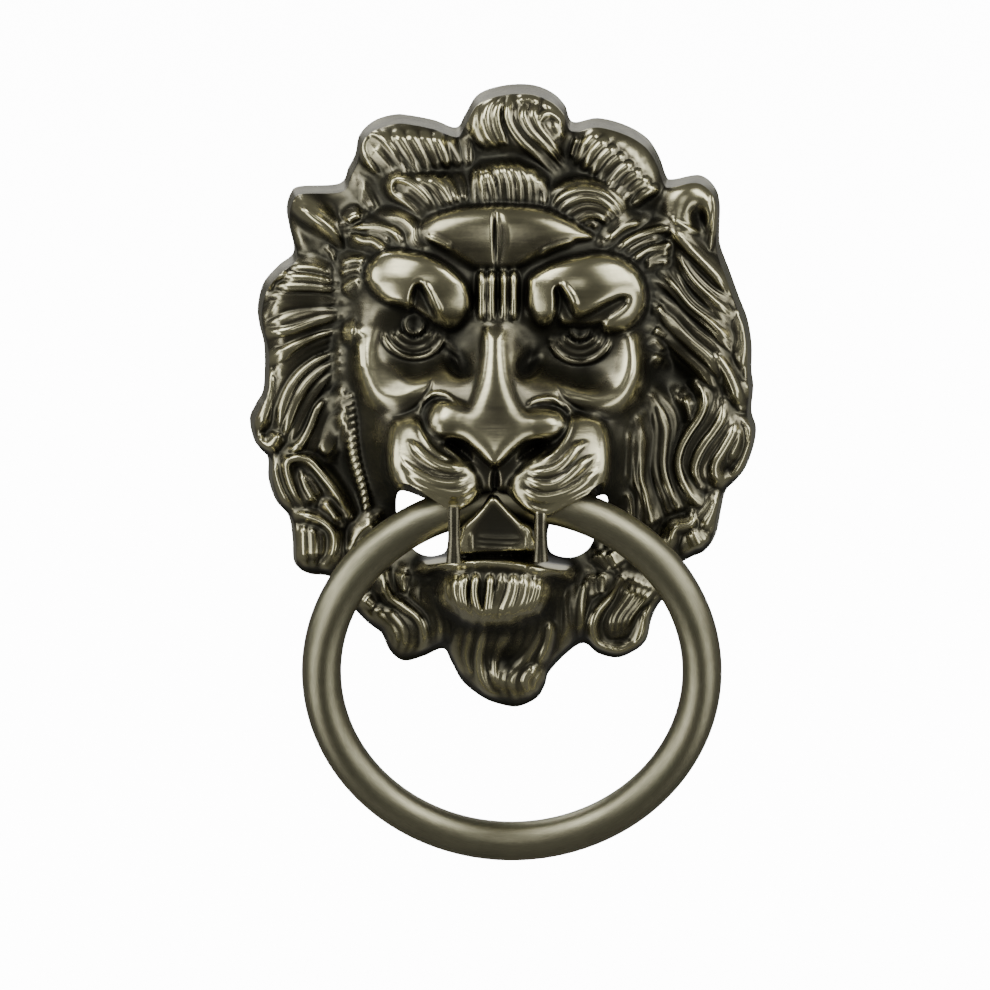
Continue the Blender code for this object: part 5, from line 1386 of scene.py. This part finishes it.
def arithmetic(tree, operation, first, second):
    made = tree.nodes.new("ShaderNodeMath")
    made.operation = operation
    for socket, value in zip(made.inputs, (first, second)):
        if isinstance(value, (int, float)):
            socket.default_value = value
        else:
            tree.links.new(value, socket)
    return made.outputs["Value"]


def bump(tree, height, strength, distance):
    made = tree.nodes.new("ShaderNodeBump")
    made.inputs["Strength"].default_value = strength
    made.inputs["Distance"].default_value = distance
    tree.links.new(height, made.inputs["Height"])
    return made.outputs["Normal"]


def antique_bronze():
    """Dark patina in the recesses, brushed off to pale bronze on whatever stands out, with painted shade on
    the eyes and the mouth's wall and a painted sheen on the skirt.
    """
    material, tree, shader = nodes_of("antique_bronze")
    shader.inputs["Metallic"].default_value = 1.0
    # the attribute holds patina and wear together with painted shade and a painted sheen
    patina_and_painted_light = node(tree, "ShaderNodeAttribute", attribute_name="patina_and_painted_light").outputs["Fac"]
    mottle = noise(tree, scaled_places(tree, (1, 1, 1)), 260.0)
    brushed = noise(tree, scaled_places(tree, (60, 400, 900)), 1.0, 3.0)
    tone = patina_and_painted_light
    for pattern, share in ((mottle, MOTTLE_SHARE), (brushed, BRUSH_SHARE)):
        swing = arithmetic(tree, "SUBTRACT", pattern, 0.5)
        tone = arithmetic(tree, "ADD", tone, arithmetic(tree, "MULTIPLY", swing, share))
    tree.links.new(ramp(tree, tone, HEAD_COLOURS), shader.inputs["Base Color"])
    tree.links.new(ramp(tree, tone, HEAD_ROUGHNESS), shader.inputs["Roughness"])
    tree.links.new(bump(tree, brushed, 0.12, 0.0003), shader.inputs["Normal"])
    return material


def brushed_bronze():
    """The ring: fine scratches along the rod, with darker patina in patches."""
    material, tree, shader = nodes_of("brushed_bronze")
    shader.inputs["Metallic"].default_value = 1.0
    along = node(tree, "ShaderNodeAttribute", attribute_name="along").outputs["Fac"]
    around = node(tree, "ShaderNodeAttribute", attribute_name="around").outputs["Fac"]
    joined = node(tree, "ShaderNodeCombineXYZ")
    tree.links.new(arithmetic(tree, "MULTIPLY", along, 6.0), joined.inputs["X"])
    tree.links.new(arithmetic(tree, "MULTIPLY", around, 30.0), joined.inputs["Y"])
    scratches = noise(tree, joined.outputs["Vector"], 2.0, 4.0)
    patches = noise(tree, scaled_places(tree, (1, 1, 1)), 60.0)
    scratched = arithmetic(tree, "MULTIPLY", scratches, SCRATCH_SHARE)
    patched = arithmetic(tree, "MULTIPLY", patches, 1 - SCRATCH_SHARE)
    tone = arithmetic(tree, "ADD", scratched, patched)
    tree.links.new(ramp(tree, tone, RING_COLOURS), shader.inputs["Base Color"])
    tree.links.new(ramp(tree, tone, RING_ROUGHNESS), shader.inputs["Roughness"])
    tree.links.new(bump(tree, scratches, 0.15, 0.0003), shader.inputs["Normal"])
    return material


def zinc_plate():
    """Bright zinc plating with a faint bloom."""
    material, tree, shader = nodes_of("zinc_plate")
    shader.inputs["Metallic"].default_value = 1.0
    bloom = noise(tree, scaled_places(tree, (1, 1, 1)), 220.0)
    tree.links.new(ramp(tree, bloom, ZINC_COLOURS), shader.inputs["Base Color"])
    tree.links.new(ramp(tree, bloom, ZINC_ROUGHNESS), shader.inputs["Roughness"])
    tree.links.new(bump(tree, bloom, 0.08, 0.0002), shader.inputs["Normal"])
    return material


def pale_floor():
    material, tree, shader = nodes_of("pale_floor")
    shader.inputs["Base Color"].default_value = (0.9, 0.9, 0.9, 1.0)
    shader.inputs["Roughness"].default_value = 0.9
    return material


# Stage

def floor():
    half = FLOOR_HALF
    corners = ((-half, -half), (half, -half), (half, half), (-half, half))
    mesh = mesh_of("floor", [(x, y, FLOOR_HEIGHT) for x, y in corners], [(0, 1, 2, 3)])
    thing = add_object("floor", mesh, pale_floor())
    thing.visible_glossy = False
    thing.visible_shadow = False


def aimed(thing, place_at, target):
    thing.location = place_at
    thing.rotation_euler = (Vector(target) - Vector(place_at)).to_track_quat("-Z", "Y").to_euler()


def soft_box(name, place_at, size, power, colour):
    light = bpy.data.lights.new(name, "AREA")
    light.shape = "RECTANGLE"
    light.size, light.size_y = size
    light.energy = power
    light.color = colour
    thing = bpy.data.objects.new(name, light)
    bpy.context.scene.collection.objects.link(thing)
    aimed(thing, place_at, HEAD_MIDDLE)
    return thing


def surroundings():
    """A white surround for the picture and soft light, and a dark one with a grey sky in reflections."""
    world = bpy.data.worlds.new("studio")
    world.use_nodes = True
    bpy.context.scene.world = world
    tree = world.node_tree
    tree.nodes.clear()
    path = tree.nodes.new("ShaderNodeLightPath")
    white = tree.nodes.new("ShaderNodeBackground")
    white.inputs["Color"].default_value = (1.0, 1.0, 1.0, 1.0)
    white.inputs["Strength"].default_value = WHITE_STRENGTH
    dark = tree.nodes.new("ShaderNodeBackground")
    dark.inputs["Color"].default_value = (*REFLECTED_GREY, 1.0)
    dark.inputs["Strength"].default_value = 1.0
    mix = tree.nodes.new("ShaderNodeMixShader")
    tree.links.new(path.outputs["Is Glossy Ray"], mix.inputs["Fac"])
    tree.links.new(white.outputs["Background"], mix.inputs[1])
    tree.links.new(dark.outputs["Background"], mix.inputs[2])
    output = tree.nodes.new("ShaderNodeOutputWorld")
    tree.links.new(mix.outputs["Shader"], output.inputs["Surface"])


def camera():
    """The photograph's view: a long lens a few degrees above the door's normal."""
    lens = bpy.data.cameras.new("camera")
    thing = bpy.data.objects.new("camera", lens)
    bpy.context.scene.collection.objects.link(thing)
    elevation = math.radians(DRAWING_TILT)
    middle_w = (PLATE_ROW - PICTURE / 2) * PIXEL
    middle_u = (PICTURE / 2 - PLATE_COLUMN) * PIXEL
    middle = Vector(place(np.array(middle_u), np.array(middle_w), np.array(CAMERA_DEPTH)))
    back = Vector((0, -math.cos(elevation), math.sin(elevation)))
    aimed(thing, middle + back * CAMERA_DISTANCE, middle)
    lens.sensor_width = 36.0
    lens.lens = lens.sensor_width * CAMERA_DISTANCE / (PICTURE * PIXEL * MM)
    lens.clip_end = 100.0
    bpy.context.scene.camera = thing


def main():
    """Makes every piece, sets it on its body and lights it."""
    bronze = antique_bronze()
    ring_bronze = brushed_bronze()
    zinc = zinc_plate()
    head = head_casting(bronze)
    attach(head, "head")
    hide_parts("head_casting")
    ring = knocker_ring(ring_bronze)
    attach(ring, "ring")
    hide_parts("knocker_ring")
    for side, height in zip(("upper", "lower"), STUD_HEIGHTS):
        for make, node_name in ((stud, "stud_"), (washer, "washer_"), (dome_nut, "dome_nut_")):
            piece = make(side, height, zinc)
            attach(piece, "head")
            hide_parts(node_name + side)
    floor()
    for box in SOFT_BOXES:
        soft_box(*box)
    surroundings()
    camera()


main()
